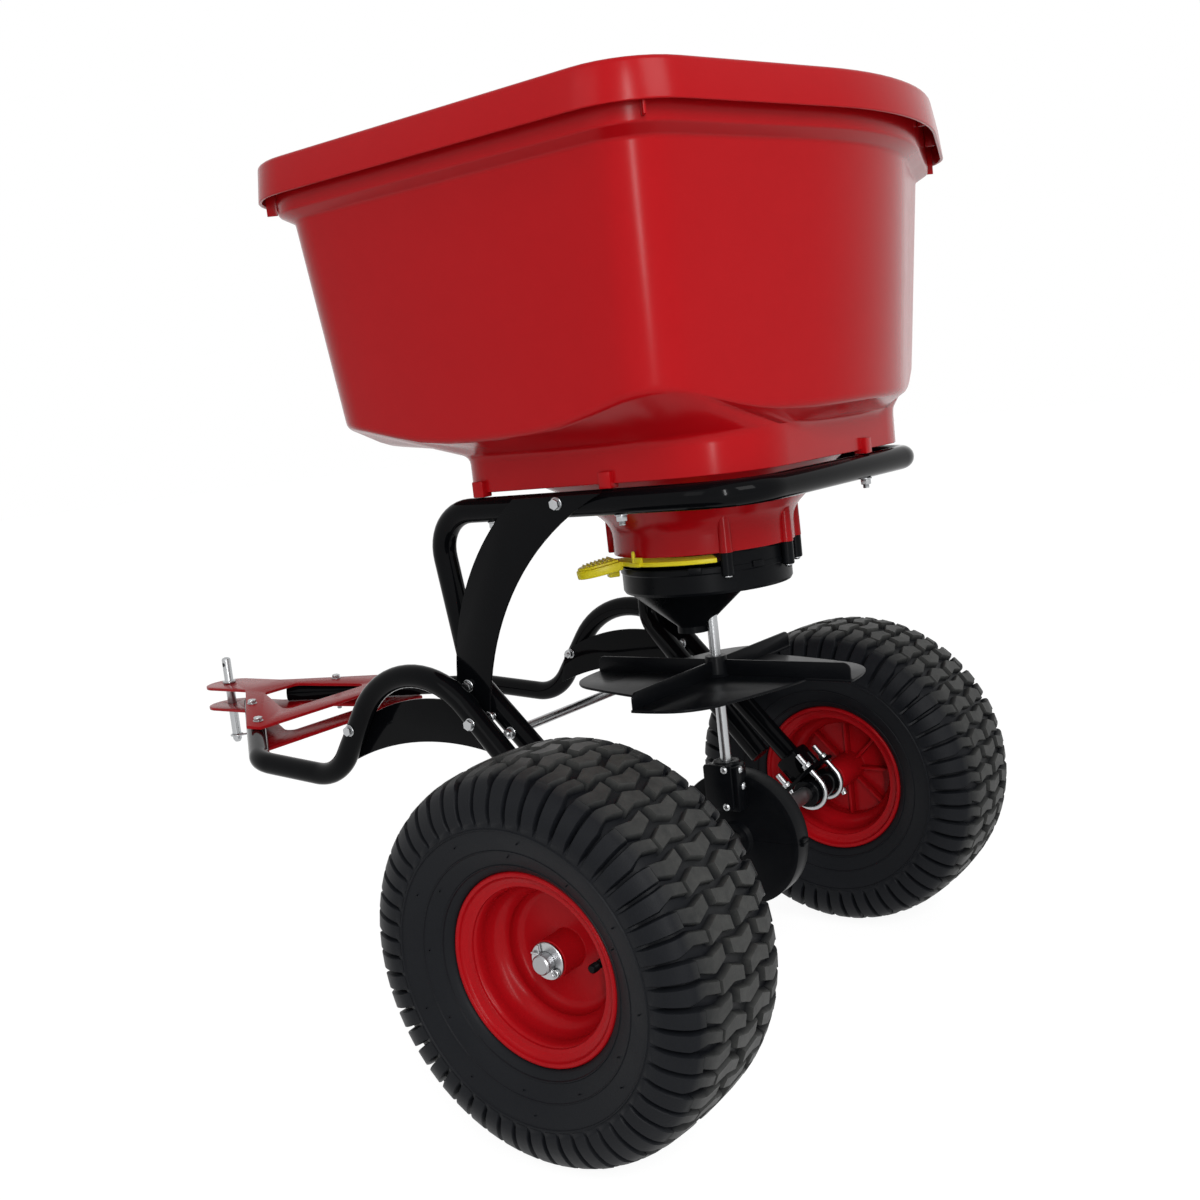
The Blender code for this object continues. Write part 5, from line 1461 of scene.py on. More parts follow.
    def chevron(self, row: int, shift: float) -> Piece:
        """Make one arrow-shaped tread block.

        Args:
            row: Number of its row, 0 in the middle of the tyre.
            shift: Offset along the tread.

        Returns:
            The block.
        """
        way = 1 if row % 2 else -1
        rows = []
        for i in range(-4, 5):
            share = i / 4
            x = row * self.row_step + self.block_half * share
            middle = shift + way * self.sweep * (0.5 - abs(share))
            half = (self.block_length - self.block_taper * abs(share)) / 2
            rows.append((Vector((x, self.radius_at(x))), Vector((0.0, 1.0)), self.tread_depth,
                         (middle - half, middle + half), i // 4 if abs(i) == 4 else 0))
        return self.block(rows, 1)

    def lug(self, side: int, start: float, path: tuple[tuple[float, ...], ...], shift: float) -> Piece:
        """Make one shoulder lug, which runs from the tread down the wall.

        Args:
            side: 1 for the outer shoulder in the drawing, -1 for the other.
            start: Distance of its inner end from the middle of the tyre.
            path: Lean and half length along the tread, by distance from the inner end.
            shift: Offset along the tread.

        Returns:
            The lug.
        """
        skin = [row for row in self.skin()
                if (row[0].x >= start and row[0].y > self.crown - self.shoulder_drop)
                or (row[0].x > self.wall_start and row[0].y > self.lug_end_radius)]
        rows, run = [], 0.0
        for i, (spot, normal, depth) in enumerate(skin):
            run += (spot - skin[i - 1][0]).length if i else 0.0
            lean, half = along_knots(run, path)
            rows.append((spot, normal, depth, (shift + lean - half, shift + lean + half), 0 if i else -1))
        return self.block(rows, side)

    def wall_at(self, radius: float) -> float:
        """Return how far from the middle the tyre's wall stands at a radius."""
        wall = [spot for spot, _, _ in self.skin()
                if spot.x > self.wall_start and spot.y < self.crown - self.shoulder_drop]
        for high, low in zip(wall, wall[1:]):
            if low.y <= radius <= high.y:
                return low.x + (high.x - low.x) * (radius - low.y) / (high.y - low.y)
        return wall[-1].x

    def rings(self) -> list[Piece]:
        """Make the raised rings on both walls."""
        made = []
        for radius, size in self.wall_rings:
            for side in (1, -1):
                offsets = ((1.3, -0.6), (0.35, 0.9), (-0.35, 0.9), (-1.3, -0.6))
                profile = [(radius + out * size, side * (self.wall_at(radius + out * size) + lift * size))
                           for out, lift in offsets]
                made.append(spun(profile, Axis.X, 120))
        return made

    def vent_pips(self) -> Piece:
        """Make the short rubber hairs that moulding leaves round the wall."""
        first = spun(rod(0.0007, -0.0008, 0.0026, 0.0003), Axis.Z, 8)
        made = []
        for i in range(self.pips):
            radius = self.pip_circles[i % 2]
            x = self.wall_at(radius)
            turn = spin(360.0 * (i + 0.3 * (i % 3)) / self.pips, "X")
            made.append(copy(first, turn @ aim(Vector((x, 0.0, radius)), Vector((1.0, 0.0, -0.3)))))
        remove(first)
        return join(made)

    def tyre(self) -> None:
        """Model one pitch of the tread, copy it round and put it on the carcass."""
        pitch = 2 * pi * self.crown / self.pitches
        blocks = [self.chevron(row, 0.5 * pitch * (row % 2)) for row in (-2, -1, 0, 1, 2)]
        for side in (1, -1):
            blocks.append(self.lug(side, self.lug_starts[0], self.long_lug, 0.5 * pitch))
            blocks.append(self.lug(side, self.lug_starts[1], self.short_lug, 0.0))
        tread = join(blocks)
        edit(tread)
        bpy.ops.mesh.spin(steps=self.pitches - 1, dupli=True, use_auto_merge=False,
                          angle=2 * pi * (self.pitches - 1) / self.pitches,
                          center=(0.0, 0.0, 0.0), axis=(1.0, 0.0, 0.0))
        close()
        pips = self.vent_pips()
        piece = join([self.carcass(), tread, self.handed(pips), *self.rings()])
        move(piece, at(self.side * self.centre_x, 0, 0))
        done(piece, f"turf_tyre_{self.word}", TYRE_RUBBER, self.body, (f"tyre_{self.word}",))

    def profile(self) -> list[Spot]:
        """Return the pressed wheel's profile, outboard up."""
        half, wall, seat, well = self.rim_half, self.rim_wall, self.seat, self.well
        edge, disc, lip = self.flange, self.disc, self.lip
        sink = well - wall - self.bowl
        bowl = [(sink + self.bowl * sin(t), disc + self.bowl * (1 - cos(t))) for t in QUARTER]
        dish = smooth_line([(well - wall, 0.0150), (well - wall, 0.0175), (well + 0.0002, 0.0222),
                            (well + 0.0055, 0.0268), (seat - wall - 0.0012, 0.0320), (seat - wall, 0.0370),
                            (seat - wall, 0.0430), (seat - 0.0018, 0.0480), (seat + 0.0016, 0.0516),
                            (seat + 0.0056, 0.0537), (edge - 0.0072, 0.0552), (edge - 0.0056, 0.0572),
                            (edge - 0.0048, 0.0592), (edge - 0.0030, half), (edge - 0.0010, half - 0.0006),
                            (edge, half - 0.0024)], 3)
        back = [(radius, -height) for radius, height in reversed(dish)]
        end, low = 0.55 * half, 0.28 * half
        return [(edge, half - lip), (seat, half - lip), (seat, end), (well, low), (well, -low), (seat, -end),
                (seat, -half + lip), (edge, -half + lip), *back, (well - wall, disc - wall),
                (self.hub, disc - wall), (self.hub, -self.hub_in), (self.bore, -self.hub_in),
                (self.bore, self.hub_out), (self.hub, self.hub_out), (self.hub, disc), *bowl, *dish]

    def rim(self) -> None:
        """Spin the wheel, round its edges and add the ribs on its inner side."""
        piece = spun(self.profile(), Axis.X, 96)
        round_edges(piece, 0.0010, 3, 50.0)
        inner, outer = self.hub - 0.001, self.well - 0.002
        ribs = []
        for i in range(self.ribs):
            rib = block((0.012, outer - inner, 0.004), 0.0012)
            move(rib, at(self.disc - self.rim_wall - 0.005, (inner + outer) / 2, 0))
            ribs.append(move(rib, spin(360.0 * i / self.ribs, "X")))
        piece = self.handed(join([piece, *ribs]))
        move(piece, at(self.side * self.centre_x, 0, 0))
        done(piece, f"steel_wheel_{self.word}", RED_ENAMEL, self.body, (f"wheel_{self.word}",))

    def valve(self) -> None:
        """Make the rubber valve stem and its ridged cap."""
        r, length = self.valve_radius, self.valve_length
        profile = [(0.0, length), (0.55 * r, length), (0.72 * r, length - 0.001)]
        for i in range(5):
            height = length - 0.002 - 0.0015 * i
            profile += [(0.78 * r, height), (0.66 * r, height - 0.0007)]
        profile += [(0.60 * r, length - 0.012), (0.72 * r, length - 0.0125), (0.86 * r, 0.006), (r, 0.002),
                    (r, 0.0), (0.0, 0.0)]
        piece = self.handed(spun(profile, Axis.X, 28))
        x = self.side * (self.centre_x + self.disc + FIT)
        spot = polar(self.valve_circle, self.valve_turn)
        done(move(piece, at(x, spot.x, spot.y)), f"valve_stem_{self.word}",
             BLACK_NYLON, self.body, (f"valve_{self.word}",))

    def build(self) -> None:
        """Model and dress the wheel."""
        self.tyre()
        self.rim()
        self.valve()


@dataclass
class AxleSet:
    """Axle bar with its end washers, split pins and drive pin."""

    hub_face: float = 0.3415
    end_reach: float = 0.014
    washer_radius: float = 0.018
    washer_thickness: float = 0.003
    cotter_radius: float = 0.0018
    cotter_length: float = 0.034
    cotter_eye: float = 0.0034
    drive_x: float = -0.2603
    drive_radius: float = 0.004
    drive_length: float = 0.054
    drive_tilt: float = 25.0
    drive_seat: float = 0.0188
    cotter_tilt: float = -135.0

    def cotter(self, side: int, word: str) -> None:
        """Make a split pin with an eye and spread legs."""
        x = side * (self.hub_face + self.washer_thickness + 0.0006 + self.cotter_radius)
        half = self.cotter_length / 2
        wire, r = 0.55 * self.cotter_radius, self.cotter_eye
        eye = [Vector((0.0, r * sin(t), half - r - r * cos(t)))
               for t in (radians(20 + 320 * i / 18) for i in range(19))]
        legs = [Vector((0, 0.0008, half - 0.008)), Vector((0, 0.0008, -0.010)),
                Vector((0.0, 0.006, -half + 0.001))]
        twin = [Vector((0, -p.y, p.z)) for p in legs]
        path = [*reversed(legs), *eye, *twin]
        piece = move(tube(path, wire, 10), at(x, 0, 0) @ spin(self.cotter_tilt, "X"))
        done(piece, f"split_pin_{word}", ZINC, "axle_drive", (f"cotter_{word}",))

    def build(self) -> None:
        """Model and dress the axle."""
        end = self.hub_face + self.end_reach
        bar = spun(rod(AXLE_RADIUS, -end, end, 0.0014), Axis.X, 48)
        done(bar, "axle_bar", STEEL, "axle_drive", ("axle",))
        for side, word in LEFT_RIGHT:
            half = self.washer_thickness / 2
            ring = spun(washer(AXLE_RADIUS + FIT, self.washer_radius, -half, half, 0.0006), Axis.X, 48,
                        Vector((side * (self.hub_face + FIT + half), 0, 0)))
            done(ring, f"end_washer_{word}", ZINC, "axle_drive", (f"washer_{word}",))
            self.cotter(side, word)
        half = self.drive_length / 2
        turn = spin(self.drive_tilt, "X")
        pin = spun(rod(self.drive_radius, -half, half, 0.0008), Axis.Z, 28, Vector((self.drive_x, 0, 0)))
        done(move(pin, turn), "drive_bolt", ZINC, "axle_drive", ("drive_pin",))
        TRAY.set_of("drive_bolt_nuts", "axle_drive", [
            (Fixing.BOLT, turn @ Vector((self.drive_x, 0, side * self.drive_seat)),
             turn.to_3x3() @ Vector((0, 0, side))) for side in (1, -1)], 0.8)


# Drive


@dataclass
class Gearbox:
    """Two-part housing round the crown gear and the pinion, with both gears."""

    far_x: float = -0.0331
    near_x: float = -0.0059
    outer: float = 0.0765
    inner: float = 0.073
    lug: float = 0.004
    boss: Spot = (0.019, 0.021)
    column_radius: float = 0.0205
    column_bottom: float = 0.040
    column_top: float = 0.093
    ear: Size = (0.016, 0.010, 0.050)
    ear_y: float = 0.0165
    face: Size = (0.004, 0.034, 0.050)
    side_screws: tuple[Size, ...] = ((0.0216, 0.009, 0.088), (0.0216, 0.008, 0.046))
    rear_screws: tuple[Size, ...] = ((0.0045, 0.0216, 0.066), (0.008, 0.0216, 0.0855))
    wall: float = 0.0035
    crown_teeth: int = 48
    crown_radius: float = 0.060
    crown_disc: float = 0.005
    crown_hub: Spot = (0.017, 0.013)
    pinion_teeth: int = 10
    pinion_radius: float = 0.0125
    tooth_depth: float = 0.0044
    tooth_width: float = 0.009
    tooth_share: float = 0.27

    def drum(self) -> Piece:
        """Spin the drum's shell with a boss round the axle."""
        far, near, r, inner, wall = self.far_x, self.near_x, self.outer, self.inner, self.wall
        bore, (neck, foot) = AXLE_RADIUS + FIT, self.boss
        profile = [(bore, near + 0.006), (neck, near + 0.006), (foot, near), (r - 0.010, near),
                   (r - 0.008, near), (r, near - 0.001), (r, far + 0.001), (r - 0.001, far), (foot, far),
                   (neck, far - 0.004), (bore, far - 0.004), (bore, far + wall), (inner, far + wall),
                   (inner, near - wall), (bore, near - wall)]
        piece = spun(profile, Axis.X, 72)
        round_edges(piece, 0.0008, 2, 24.0)
        return piece

    def half(self, sign: int) -> Piece:
        """Cut one half of the drum and give it a lug at each end of the parting line."""
        piece = self.drum()
        part = FIT / 2
        edit(piece)
        bpy.ops.mesh.bisect(plane_co=(0, 0, sign * part), plane_no=(0, 0, -sign), clear_outer=True,
                            use_fill=True)
        bpy.ops.object.mode_set(mode="OBJECT")
        middle, width = (self.far_x + self.near_x) / 2, self.near_x - self.far_x
        parts = [piece]
        for end in (1, -1):
            lug = block((0.5 * width, 0.006, self.lug), 0.0012)
            place = at(middle, end * (self.outer + 0.001), sign * (part + self.lug / 2))
            parts.append(move(lug, place))
        return join(parts)

    def column(self) -> list[Piece]:
        """Make the column over the pinion with its screw ears."""
        r, low, high = self.column_radius, self.column_bottom, self.column_top
        bore, middle = SHAFT_RADIUS + FIT, (low + high) / 2
        tower = spun([(bore, high), (r - 0.006, high), (r - 0.005, high - 0.003),
                      (r - 0.001, high - 0.004), (r, high - 0.006), (r, low), (bore, low)], Axis.Z, 48)
        round_edges(tower, 0.0008, 2, 24.0)
        parts = [tower]
        for y in (self.ear_y, -self.ear_y):
            parts.append(move(block(self.ear, 0.0015), at(0.0085, y, middle - 0.002)))
        return [*parts, move(block(self.face, 0.0012), at(0.0195, 0.0, middle + 0.001))]

    def gears(self) -> None:
        """Make the crown gear on the axle and the pinion on the upright shaft."""
        base = -(self.pinion_radius + self.tooth_depth / 2 + 0.0005)
        tip = base + self.tooth_depth
        outer = self.crown_radius + self.tooth_width / 2
        bore = AXLE_RADIUS + FIT
        thin, (hub, deep) = base - self.crown_disc, self.crown_hub
        disc = spun([(outer, base), (outer, thin), (hub, thin), (hub, base - deep), (bore, base - deep),
                     (bore, base)], Axis.X, 72)
        thick = self.tooth_share * 2 * pi * self.crown_radius / self.crown_teeth
        first = block((self.tooth_depth + 0.002, thick, self.tooth_width - 0.001), 0.0003)
        move(first, at((tip + base - 0.002) / 2, 0, self.crown_radius))
        teeth = [copy(first, spin(360.0 * i / self.crown_teeth, "X")) for i in range(1, self.crown_teeth)]
        done(join([disc, first, *teeth]), "crown_wheel", STEEL, "axle_drive", ("crown_gear",))
        root, top = self.pinion_radius - self.tooth_depth / 2, self.pinion_radius + self.tooth_depth / 2
        half, bore = self.tooth_width / 2, SHAFT_RADIUS + FIT
        hub = spun(washer(bore, root, -half, half, 0.0003), Axis.Z, 40, Vector((0, 0, self.crown_radius)))
        thick = self.tooth_share * 2 * pi * self.pinion_radius / self.pinion_teeth
        first = block((top - root + 0.001, thick, self.tooth_width - 0.001), 0.0003)
        move(first, at((top + root - 0.001) / 2, 0, self.crown_radius))
        turns = [180.0 + 360.0 * (i + 0.5) / self.pinion_teeth for i in range(self.pinion_teeth)]
        teeth = [copy(first, spin(turn, "Z")) for turn in turns]
        remove(first)
        done(join([hub, *teeth]), "shaft_pinion", STEEL, "impeller_drive", ("pinion",))

    def build(self) -> None:
        """Model and dress the gearbox."""
        done(join([self.half(1), *self.column()]), "gear_housing_top", BLACK_NYLON, "frame",
             ("gearbox_upper",), angle=28.0)
        done(self.half(-1), "gear_housing_foot", BLACK_NYLON, "frame", ("gearbox_lower",), angle=28.0)
        self.gears()
        places = [(Fixing.SCREW, Vector(spot), Vector((1, 0, 0))) for spot in self.side_screws]
        places += [(Fixing.SCREW, Vector(spot), Vector((0, 1, 0))) for spot in self.rear_screws]
        TRAY.set_of("gearbox_screws", "frame", places)


@dataclass
class Spinner:
    """Upright shaft with the impeller and the agitator."""

    shaft_top: float = 0.372
    shaft_bottom: float = 0.050
    plate_z: float = 0.187
    thickness: float = 0.003
    waist: float = 0.110
    reach: float = 0.163
    vanes: int = 4
    vane_height: float = 0.018
    vane_thickness: float = 0.003
    hub_radius: float = 0.014
    hub_top: float = 0.212
    hub_bottom: float = 0.168
    agitator_z: float = 0.340
    edge: tuple[Spot, ...] = ((-2.0, 1.0), (8.0, 1.0), (18.0, 0.97), (28.0, 0.78), (38.0, 0.46),
                              (50.0, 0.20), (62.0, 0.06), (75.0, 0.0), (87.9, 0.0))
    tip_round: float = 0.008
    agitator_hub: float = 0.011
    agitator_arm: tuple[float, ...] = (0.009, 0.030, 0.050)
    agitator_wire: float = 0.003

    def impeller(self) -> None:
        """Cut the pinwheel plate and stand its vanes and hub on it."""
        quarter = 360.0 / self.vanes
        outline = []
        for vane in range(self.vanes):
            for angle, share in smooth_line(list(self.edge), 3):
                spot = polar(self.waist + (self.reach - self.waist) * min(1.0, max(0.0, share)),
                             vane * quarter + angle)
                outline.append((spot.x, spot.y))
        middle = self.plate_z + self.thickness / 2
        parts = [move(cut_plate(outline, self.thickness, 0.0006), at(0, 0, middle))]
        inner, outer = self.hub_radius - 0.004, self.reach - 0.001
        high, soft = self.vane_height + 0.001, self.tip_round
        tip = [(outer - soft + soft * cos(t), high - soft + soft * sin(t)) for t in QUARTER]
        for vane in range(self.vanes):
            wall = cut_plate([(inner, 0.0), (outer, 0.0), *tip, (inner, high)], self.vane_thickness, 0.0007)
            move(wall, at(0, 0, middle) @ spin(90.0, "X"))
            parts.append(move(wall, spin(vane * quarter - 1.2, "Z")))
        r, bore, low = self.hub_radius, SHAFT_RADIUS + FIT, self.hub_bottom
        hub = spun([(bore, self.hub_top), (0.8 * r, self.hub_top), (0.86 * r, self.hub_top - 0.002),
                    (r, middle + 0.004), (r + 0.004, middle), (r, middle - 0.004),
                    (0.86 * r, low + 0.002), (0.8 * r, low), (bore, low)], Axis.Z, 40)
        done(join([*parts, hub]), "pinwheel_impeller", BLACK_NYLON, "impeller_drive", ("impeller",))

    def build(self) -> None:
        """Model and dress the shaft and what turns with it."""
        shaft = spun(rod(SHAFT_RADIUS, self.shaft_bottom, self.shaft_top, 0.0009), Axis.Z, 40)
        done(shaft, "upright_shaft", ZINC, "impeller_drive", ("impeller_shaft",))
        self.impeller()
        half = self.agitator_hub
        hub = spun(washer(SHAFT_RADIUS + FIT, half, -half, half, 0.0010), Axis.Z, 40,
                   Vector((0, 0, self.agitator_z)))
        arms = [tube([Vector((side * x, 0, self.agitator_z)) for x in self.agitator_arm],
                     self.agitator_wire, 14) for side in (1, -1)]
        done(join([hub, *arms]), "agitator_arms", STEEL, "impeller_drive", ("agitator",))


@dataclass
class MeteringBase:
    """Base below the neck with its chute, the gate disc and the rate lever."""

    top_z: float = 0.3206
    radius: float = 0.0935
    rim_height: float = 0.0286
    wall: float = 0.004
    chute_y: float = -0.024
    chute_top: float = 0.069
    chute_bottom: float = 0.018
    chute_z: float = 0.239
    guide_radius: float = 0.010
    guide_z: float = 0.2625
    collar: float = 0.012
    gate_radius: float = 0.084
    gate_z: float = 0.3226
    gate_thickness: float = 0.003
    port_radius: float = 0.011
    port_centre: float = 0.045
    port_azimuths: tuple[float, float] = (-125.0, -55.0)
    gate_turn: float = 40.0
    lever_z: float = 0.3259
    lever_thickness: float = 0.005
    lever_inner: float = 0.068
    lever_outer: float = 0.101
    lever_reach: float = 0.114
    grip_root: float = 0.0995
    grip_droop: float = 9.0
    grip_half: float = 0.021
    grip_edge: tuple[Spot, ...] = ((0.0995, 0.0220), (0.1120, 0.0216), (0.1260, 0.0190), (0.1370, 0.0135),
                                   (0.1435, 0.0062), (0.1455, 0.0))
    rib_count: int = 7
    rib_start: float = 0.106
    rib_pitch: float = 0.0048
    peg: Spot = (0.1018, 24.5)
    tab: Spot = (0.010, 0.016)
    tab_spot: Spot = (0.0995, 26.0)
    fin: Size = (0.0026, 0.014, 0.006)
    hook: Size = (0.012, 0.011, 0.011)
    hook_spot: Size = (0.1045, -0.002, -0.0095)
    lever_azimuth: float = -40.0
    lever_sweep: float = 78.0
    catch: Size = (0.005, 0.014, 0.0065)
    catch_azimuths: tuple[float, ...] = (24.0, 66.0, 108.0, -110.0)
    upstand: Spot = (0.0895, 0.0930)
    upstand_span: Spot = (44.0, 262.0)
    upstand_lip: Spot = (0.0946, 0.0040)

    def ports(self, turn: float) -> tuple[list[Spot], ...]:
        """Return the outlines of the two ports, turned by an angle."""
        spots = [polar(self.port_centre, azimuth + turn) for azimuth in self.port_azimuths]
        return tuple(circle((spot.x, spot.y), self.port_radius, 28) for spot in spots)

    def chute(self) -> Piece:
        """Spin the funnel that leads the granules to the impeller."""
        rim = self.top_z - self.rim_height
        top, low, w = self.chute_top, self.chute_bottom, self.wall
        return spun([(top, rim + 0.004), (top, rim - 0.001), (low + 0.0015, self.chute_z + 0.009),
                     (low, self.chute_z + 0.007), (low, self.chute_z), (low - w, self.chute_z),
                     (low - w, self.chute_z + 0.009), (top - w, rim), (top - w, rim + 0.004)],
                    Axis.Z, 64, Vector((0, self.chute_y, 0)))

    def upstand_ring(self) -> Piece:
        """Loft the part ring with a lip that closes the base to the neck, clear of the lever's sweep."""
        inner, outer = self.upstand
        lip, rise = self.upstand_lip
        low, high = self.top_z - 0.001, Hopper.neck_bottom_z - 0.0004
        section = ((inner, low), (outer, low), (outer, high - 0.002), (lip, high), (lip, high + rise),
                   (inner, high + rise))
        start, end = self.upstand_span
        rings = []
        for step in range(57):
            azimuth = start + (end - start) * step / 56
            rings.append([polar(r, azimuth, z) for r, z in section])
        return loft(rings)

    def housing(self) -> None:
        """Make the rim, floor, collar, chute, shaft guide and screw bosses of the base."""
        top, rim, w = self.top_z, self.top_z - self.rim_height, self.wall
        r, bore, edge = self.radius, SHAFT_RADIUS + FIT, self.collar
        hole = circle((0.0, 0.0), bore, 32)
        floor = cut_plate(circle((0.0, 0.0), r - 0.001, 72), w, 0.0, (*self.ports(0.0), hole))
        move(floor, at(0, 0, top - w / 2))
        ring = spun([(r - 0.002, top), (r, top - 0.001), (r, top - 0.006), (r - 0.0012, top - 0.0075),
                     (r - 0.0012, rim + 0.003), (r - 0.003, rim), (r - 0.022, rim),
                     (r - 0.022, rim + w), (r - w, rim + w), (r - w, top - w), (r - 0.010, top - w),
                     (r - 0.010, top)], Axis.Z, 96)
        web = cut_plate(circle((0.0, 0.0), r - 0.006, 72), 0.003, 0.0,
                        (circle((0.0, self.chute_y), self.chute_top - w, 64), hole))
        move(web, at(0, 0, rim + 0.0016))
        guide = spun(washer(bore, self.guide_radius, self.guide_z, top - w, 0.001), Axis.Z, 40)
        high, seat = self.gate_z + self.gate_thickness + FIT, self.gate_z - FIT
        collar = spun([(bore, high), (edge - 0.001, high), (edge, high - 0.001), (edge, seat),
                       (edge + 0.006, seat), (edge + 0.006, top - 0.001), (bore, top - 0.001)],
                      Axis.Z, 48)
        parts = [floor, ring, web, guide, collar, self.chute(), self.upstand_ring()]
        low = top - 0.34 * self.rim_height
        boss = [(0.0, Hopper.neck_bottom_z - FIT), (Hopper.boss_radius, Hopper.neck_bottom_z - FIT),
                (Hopper.boss_radius, low + 0.001), (Hopper.boss_radius - 0.001, low), (0.0, low)]
        parts += [spun(boss, Axis.Z, 24, polar(Hopper.neck_radius, azimuth))
                  for azimuth in Hopper.boss_azimuths]
        for azimuth in self.catch_azimuths:
            spot = polar(r - 0.0008, azimuth, top - 0.0022)
            parts.append(move(block(self.catch, 0.0009), at(*spot) @ spin(azimuth, "Z")))
        done(join(parts), "chute_base", BLACK_NYLON, "frame", ("base_housing",), angle=28.0)
        TRAY.set_of("base_screws", "frame", [
            (Fixing.SCREW, polar(Hopper.neck_radius, azimuth, low - 0.0004), Vector((0, 0, -1)))
            for azimuth in Hopper.boss_azimuths])

    def gate(self) -> None:
        """Cut the gate disc with its ports."""
        disc = cut_plate(circle((0.0, 0.0), self.gate_radius, 96), self.gate_thickness, 0.0005,
                         (*self.ports(self.gate_turn), circle((0.0, 0.0), self.collar + FIT, 48)))
        move(disc, at(0, 0, self.gate_z + self.gate_thickness / 2))
        done(disc, "gate_plate", BLACK_NYLON, "gate", ("gate_disc",))

    def lever(self) -> None:
        """Make the yellow lever with a raised ribbed grip, a stop peg and a hook below."""
        wide, top = self.grip_half, self.lever_thickness / 2
        edge = math.degrees(math.asin(wide / self.lever_outer))
        sweep = self.lever_sweep
        inner = [polar(self.lever_inner, sweep - (sweep + edge) * i / 40) for i in range(41)]
        turns = [-pi / 2 + pi * i / 24 for i in range(25)]
        round_end = wide * 0.6
        grip = [Vector((self.lever_reach - round_end + round_end * cos(t), wide * sin(t), 0)) for t in turns]
        heel = Vector((self.lever_outer * cos(radians(edge)), -wide, 0))
        outer = [polar(self.lever_outer, edge + (sweep - edge) * i / 32) for i in range(33)]
        outline = [(p.x, p.y) for p in [*inner, heel, *grip, *outer]]
        parts = [cut_plate(outline, self.lever_thickness, 0.0009), self.handle(top)]
        turn = spin(self.peg[1], "Z")
        tab = block((*self.tab, self.lever_thickness - 0.0004), 0.0009)
        parts.append(move(tab, at(*polar(*self.tab_spot)) @ turn))
        peg = spun([(0.0, 0.0142), (0.0012, 0.0142), (0.0019, 0.012), (0.0021, 0.0), (0.0, 0.0)],
                   Axis.Z, 20, polar(*self.peg))
        fin = block(self.fin, 0.0008)
        parts += [peg, move(fin, at(*polar(self.peg[0], 28.0, 0.0048)) @ turn)]
        parts.append(move(block(self.hook, 0.0014), at(*self.hook_spot)))
        piece = join(parts)
        move(piece, at(0, 0, self.lever_z + top) @ spin(self.lever_azimuth, "Z"))
        done(piece, "gate_lever", YELLOW_PLASTIC, "gate", ("rate_lever",))

    def handle(self, top: float) -> Piece:
        """Make the lever's drooping grip with its pad of short ribs, above a plate whose top is given."""
        edge_line = smooth_line(list(self.grip_edge), 4)
        shape = [(x, -y) for x, y in edge_line] + edge_line[-2::-1]
        made = [move(cut_plate(shape, 0.0095, 0.0016), at(0, 0, -0.0012))]
        inset = [(0.1020 + 0.90 * (x - self.grip_root), 0.80 * y) for x, y in shape]
        made.append(move(cut_plate(inset, 0.0050, 0.0010), at(0, 0, top + 0.0010)))
        for i in range(self.rib_count):
            x = self.rib_start + self.rib_pitch * i
            span = 0.031 * math.sqrt(max(0.1, 1 - ((x - 0.103) / 0.0400)**2))
            dashes = 3 if span > 0.02 else 2
            for k in range(dashes):
                rib = block((0.0020, span / dashes - 0.0022, 0.0026), 0.0007)
                made.append(move(rib, at(x, span * ((k + 0.5) / dashes - 0.5), top + 0.0040)))
        root = at(self.grip_root, 0, 0)
        return move(join(made), root @ spin(self.grip_droop, "Y") @ root.inverted())

    def build(self) -> None:
        """Model and dress the base, the gate and the lever."""
        self.housing()
        self.gate()
        self.lever()


# Studio


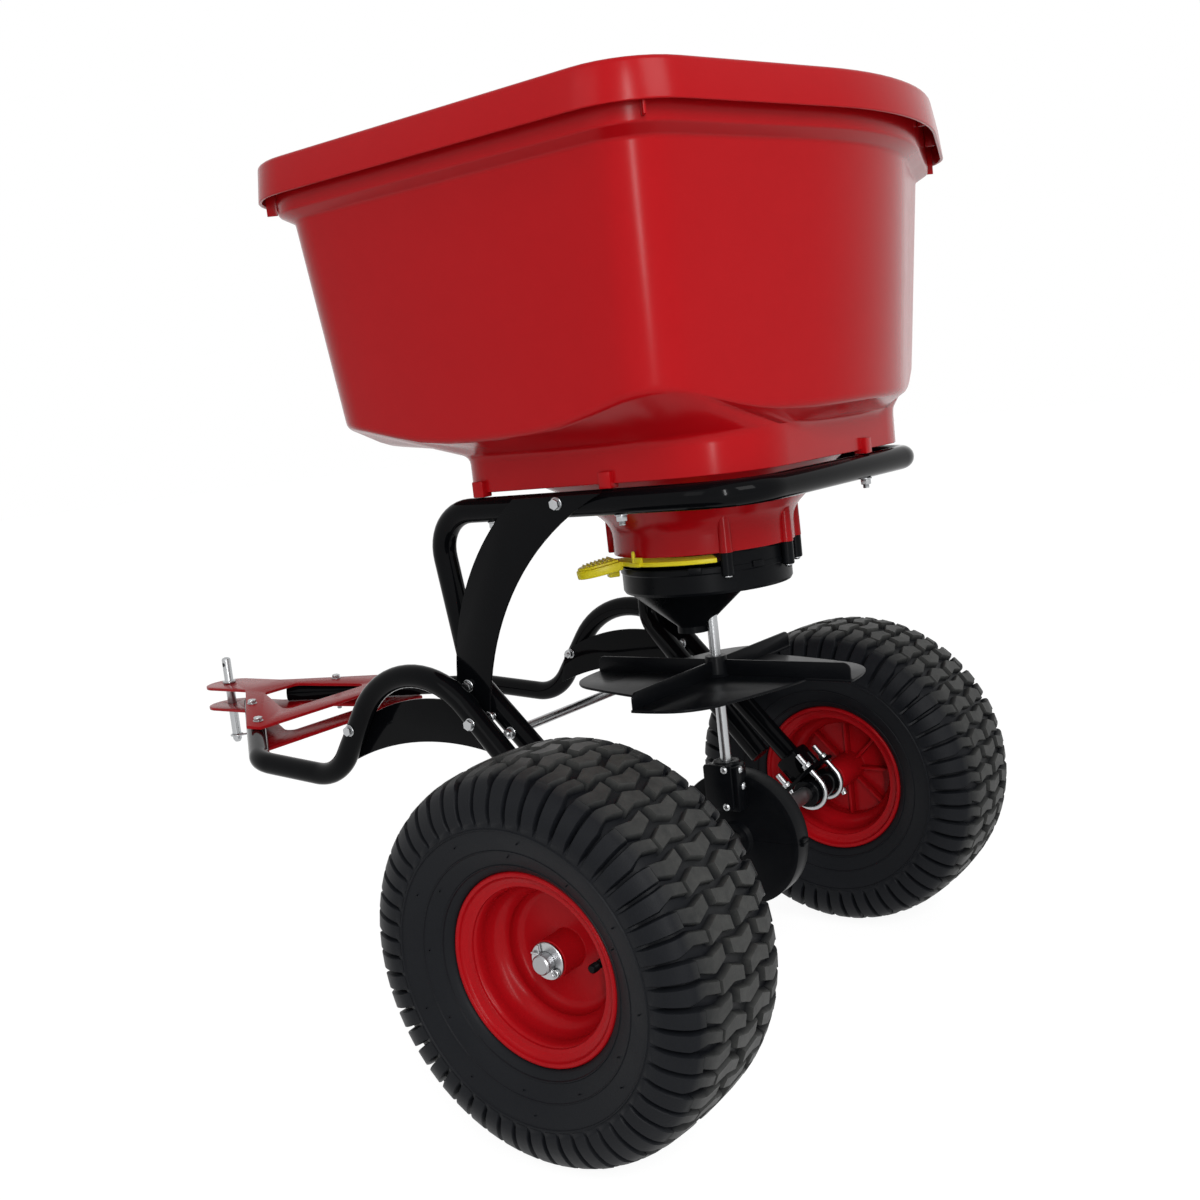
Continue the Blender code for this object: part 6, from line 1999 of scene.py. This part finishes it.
@dataclass
class Studio:
    """Camera, soft lights, pale floor and white surround."""

    yaw: float = 53.690
    pitch: float = 7.348
    roll: float = -6.365
    eye: Size = (1.22952, 0.75608, 0.48736)
    lens: float = 39.88
    shift: Spot = (0.0007, -0.0112)
    sky: float = 0.42
    floor_tone: float = 0.64
    floor_glow: Spot = (1.28, 0.72)
    target: Size = (0.0, 0.2, 0.5)
    lamps: tuple[tuple[str, Size, Spot, float], ...] = (
        ("key", (1.0, 3.0, 2.2), (1.4, 1.4), 36.5), ("fill", (2.8, -0.2, 1.8), (1.4, 1.4), 8.0),
        ("strip", (1.9, 1.7, 1.1), (0.12, 1.8), 26.0))

    def camera(self) -> None:
        """Stand the camera where the photograph was taken from."""
        yaw, pitch, roll = (radians(v) for v in (self.yaw, self.pitch, self.roll))
        ahead = Vector((-sin(yaw) * cos(pitch), -cos(yaw) * cos(pitch), -sin(pitch)))
        right = ahead.cross(Vector((0, 0, 1))).normalized()
        up = right.cross(ahead)
        right, up = right * cos(roll) + up * sin(roll), up * cos(roll) - right * sin(roll)
        data = bpy.data.cameras.new("view")
        data.lens = self.lens
        data.sensor_width = 36.0
        data.shift_x, data.shift_y = self.shift
        data.dof.use_dof = False
        view = bpy.data.objects.new("view", data)
        bpy.context.scene.collection.objects.link(view)
        turn = Matrix((right, up, -ahead)).transposed().to_4x4()
        view.matrix_world = Matrix.Translation(AXLE + Vector(self.eye)) @ turn
        bpy.context.scene.camera = view

    def lamp(self, name: str, place: Size, size: Spot, power: float) -> None:
        """Hang a soft rectangular lamp that points at the target.

        Args:
            name: Name of the lamp.
            place: Where it hangs.
            size: Width and height.
            power: Watts.
        """
        data = bpy.data.lights.new(name, "AREA")
        data.shape = "RECTANGLE"
        data.size, data.size_y = size
        data.energy = power
        lamp = bpy.data.objects.new(name, data)
        bpy.context.scene.collection.objects.link(lamp)
        lamp.matrix_world = aim(Vector(place), Vector(place) - Vector(self.target))

    @staticmethod
    def seen_white(net: Wiring) -> Socket:
        """Return a socket that is 1 for rays from the camera, mirrors and glass."""
        rays = net.node("LightPath").outputs
        seen = net.reckon("MAXIMUM", rays["Is Camera Ray"], rays["Is Glossy Ray"])
        return net.reckon("MAXIMUM", seen, rays["Is Transmission Ray"])

    def world(self) -> None:
        """Surround the object with even light that looks white."""
        world = bpy.data.worlds.new("surround")
        bpy.context.scene.world = world
        world.use_nodes = True
        world.node_tree.nodes.clear()
        net = Wiring(world.node_tree)
        light = net.node("Background", {"Color": WHITE, "Strength": self.sky})
        seen = net.node("Background", {"Color": WHITE, "Strength": 1.0})
        mix = net.node("MixShader", {0: self.seen_white(net), 1: light.outputs[0], 2: seen.outputs[0]})
        net.node("OutputWorld", {"Surface": mix.outputs[0]})

    def floor(self) -> None:
        """Lay a pale floor that keeps the object's shadow."""
        clear()
        bpy.ops.mesh.primitive_plane_add(size=40.0)
        floor = bpy.context.object
        floor.name = "floor"
        paint = bpy.data.materials.new("pale_floor")
        paint.use_nodes = True
        net = Wiring(paint.node_tree)
        shader = net.tree.nodes["Principled BSDF"]
        net.feed(shader, {"Base Color": (*[self.floor_tone] * 3, 1.0), "Roughness": 0.8})
        strength, share = self.floor_glow
        glow = net.node("Emission", {"Strength": strength})
        mix = net.node("MixShader", {0: net.reckon("MULTIPLY", self.seen_white(net), share),
                                     1: shader.outputs[0], 2: glow.outputs[0]})
        net.feed(net.tree.nodes["Material Output"], {"Surface": mix.outputs[0]})
        floor.data.materials.append(paint)

    def build(self) -> None:
        """Set up the studio."""
        bpy.context.scene.view_settings.view_transform = "Standard"
        self.camera()
        self.world()
        self.floor()
        for row in self.lamps:
            self.lamp(*row)


def main() -> None:
    """Build the sub-assemblies and the studio."""
    logging.basicConfig(level=logging.INFO, format="%(name)s: %(message)s")
    Studio().build()
    Hopper().build()
    TubeFrame().build()
    Hitch().build()
    Wheel(1, "left", "left_wheel").build()
    Wheel(-1, "right", "axle_drive").build()
    AxleSet().build()
    Gearbox().build()
    Spinner().build()
    MeteringBase().build()
    TRAY.put_away()


if __name__ == "__main__":
    main()
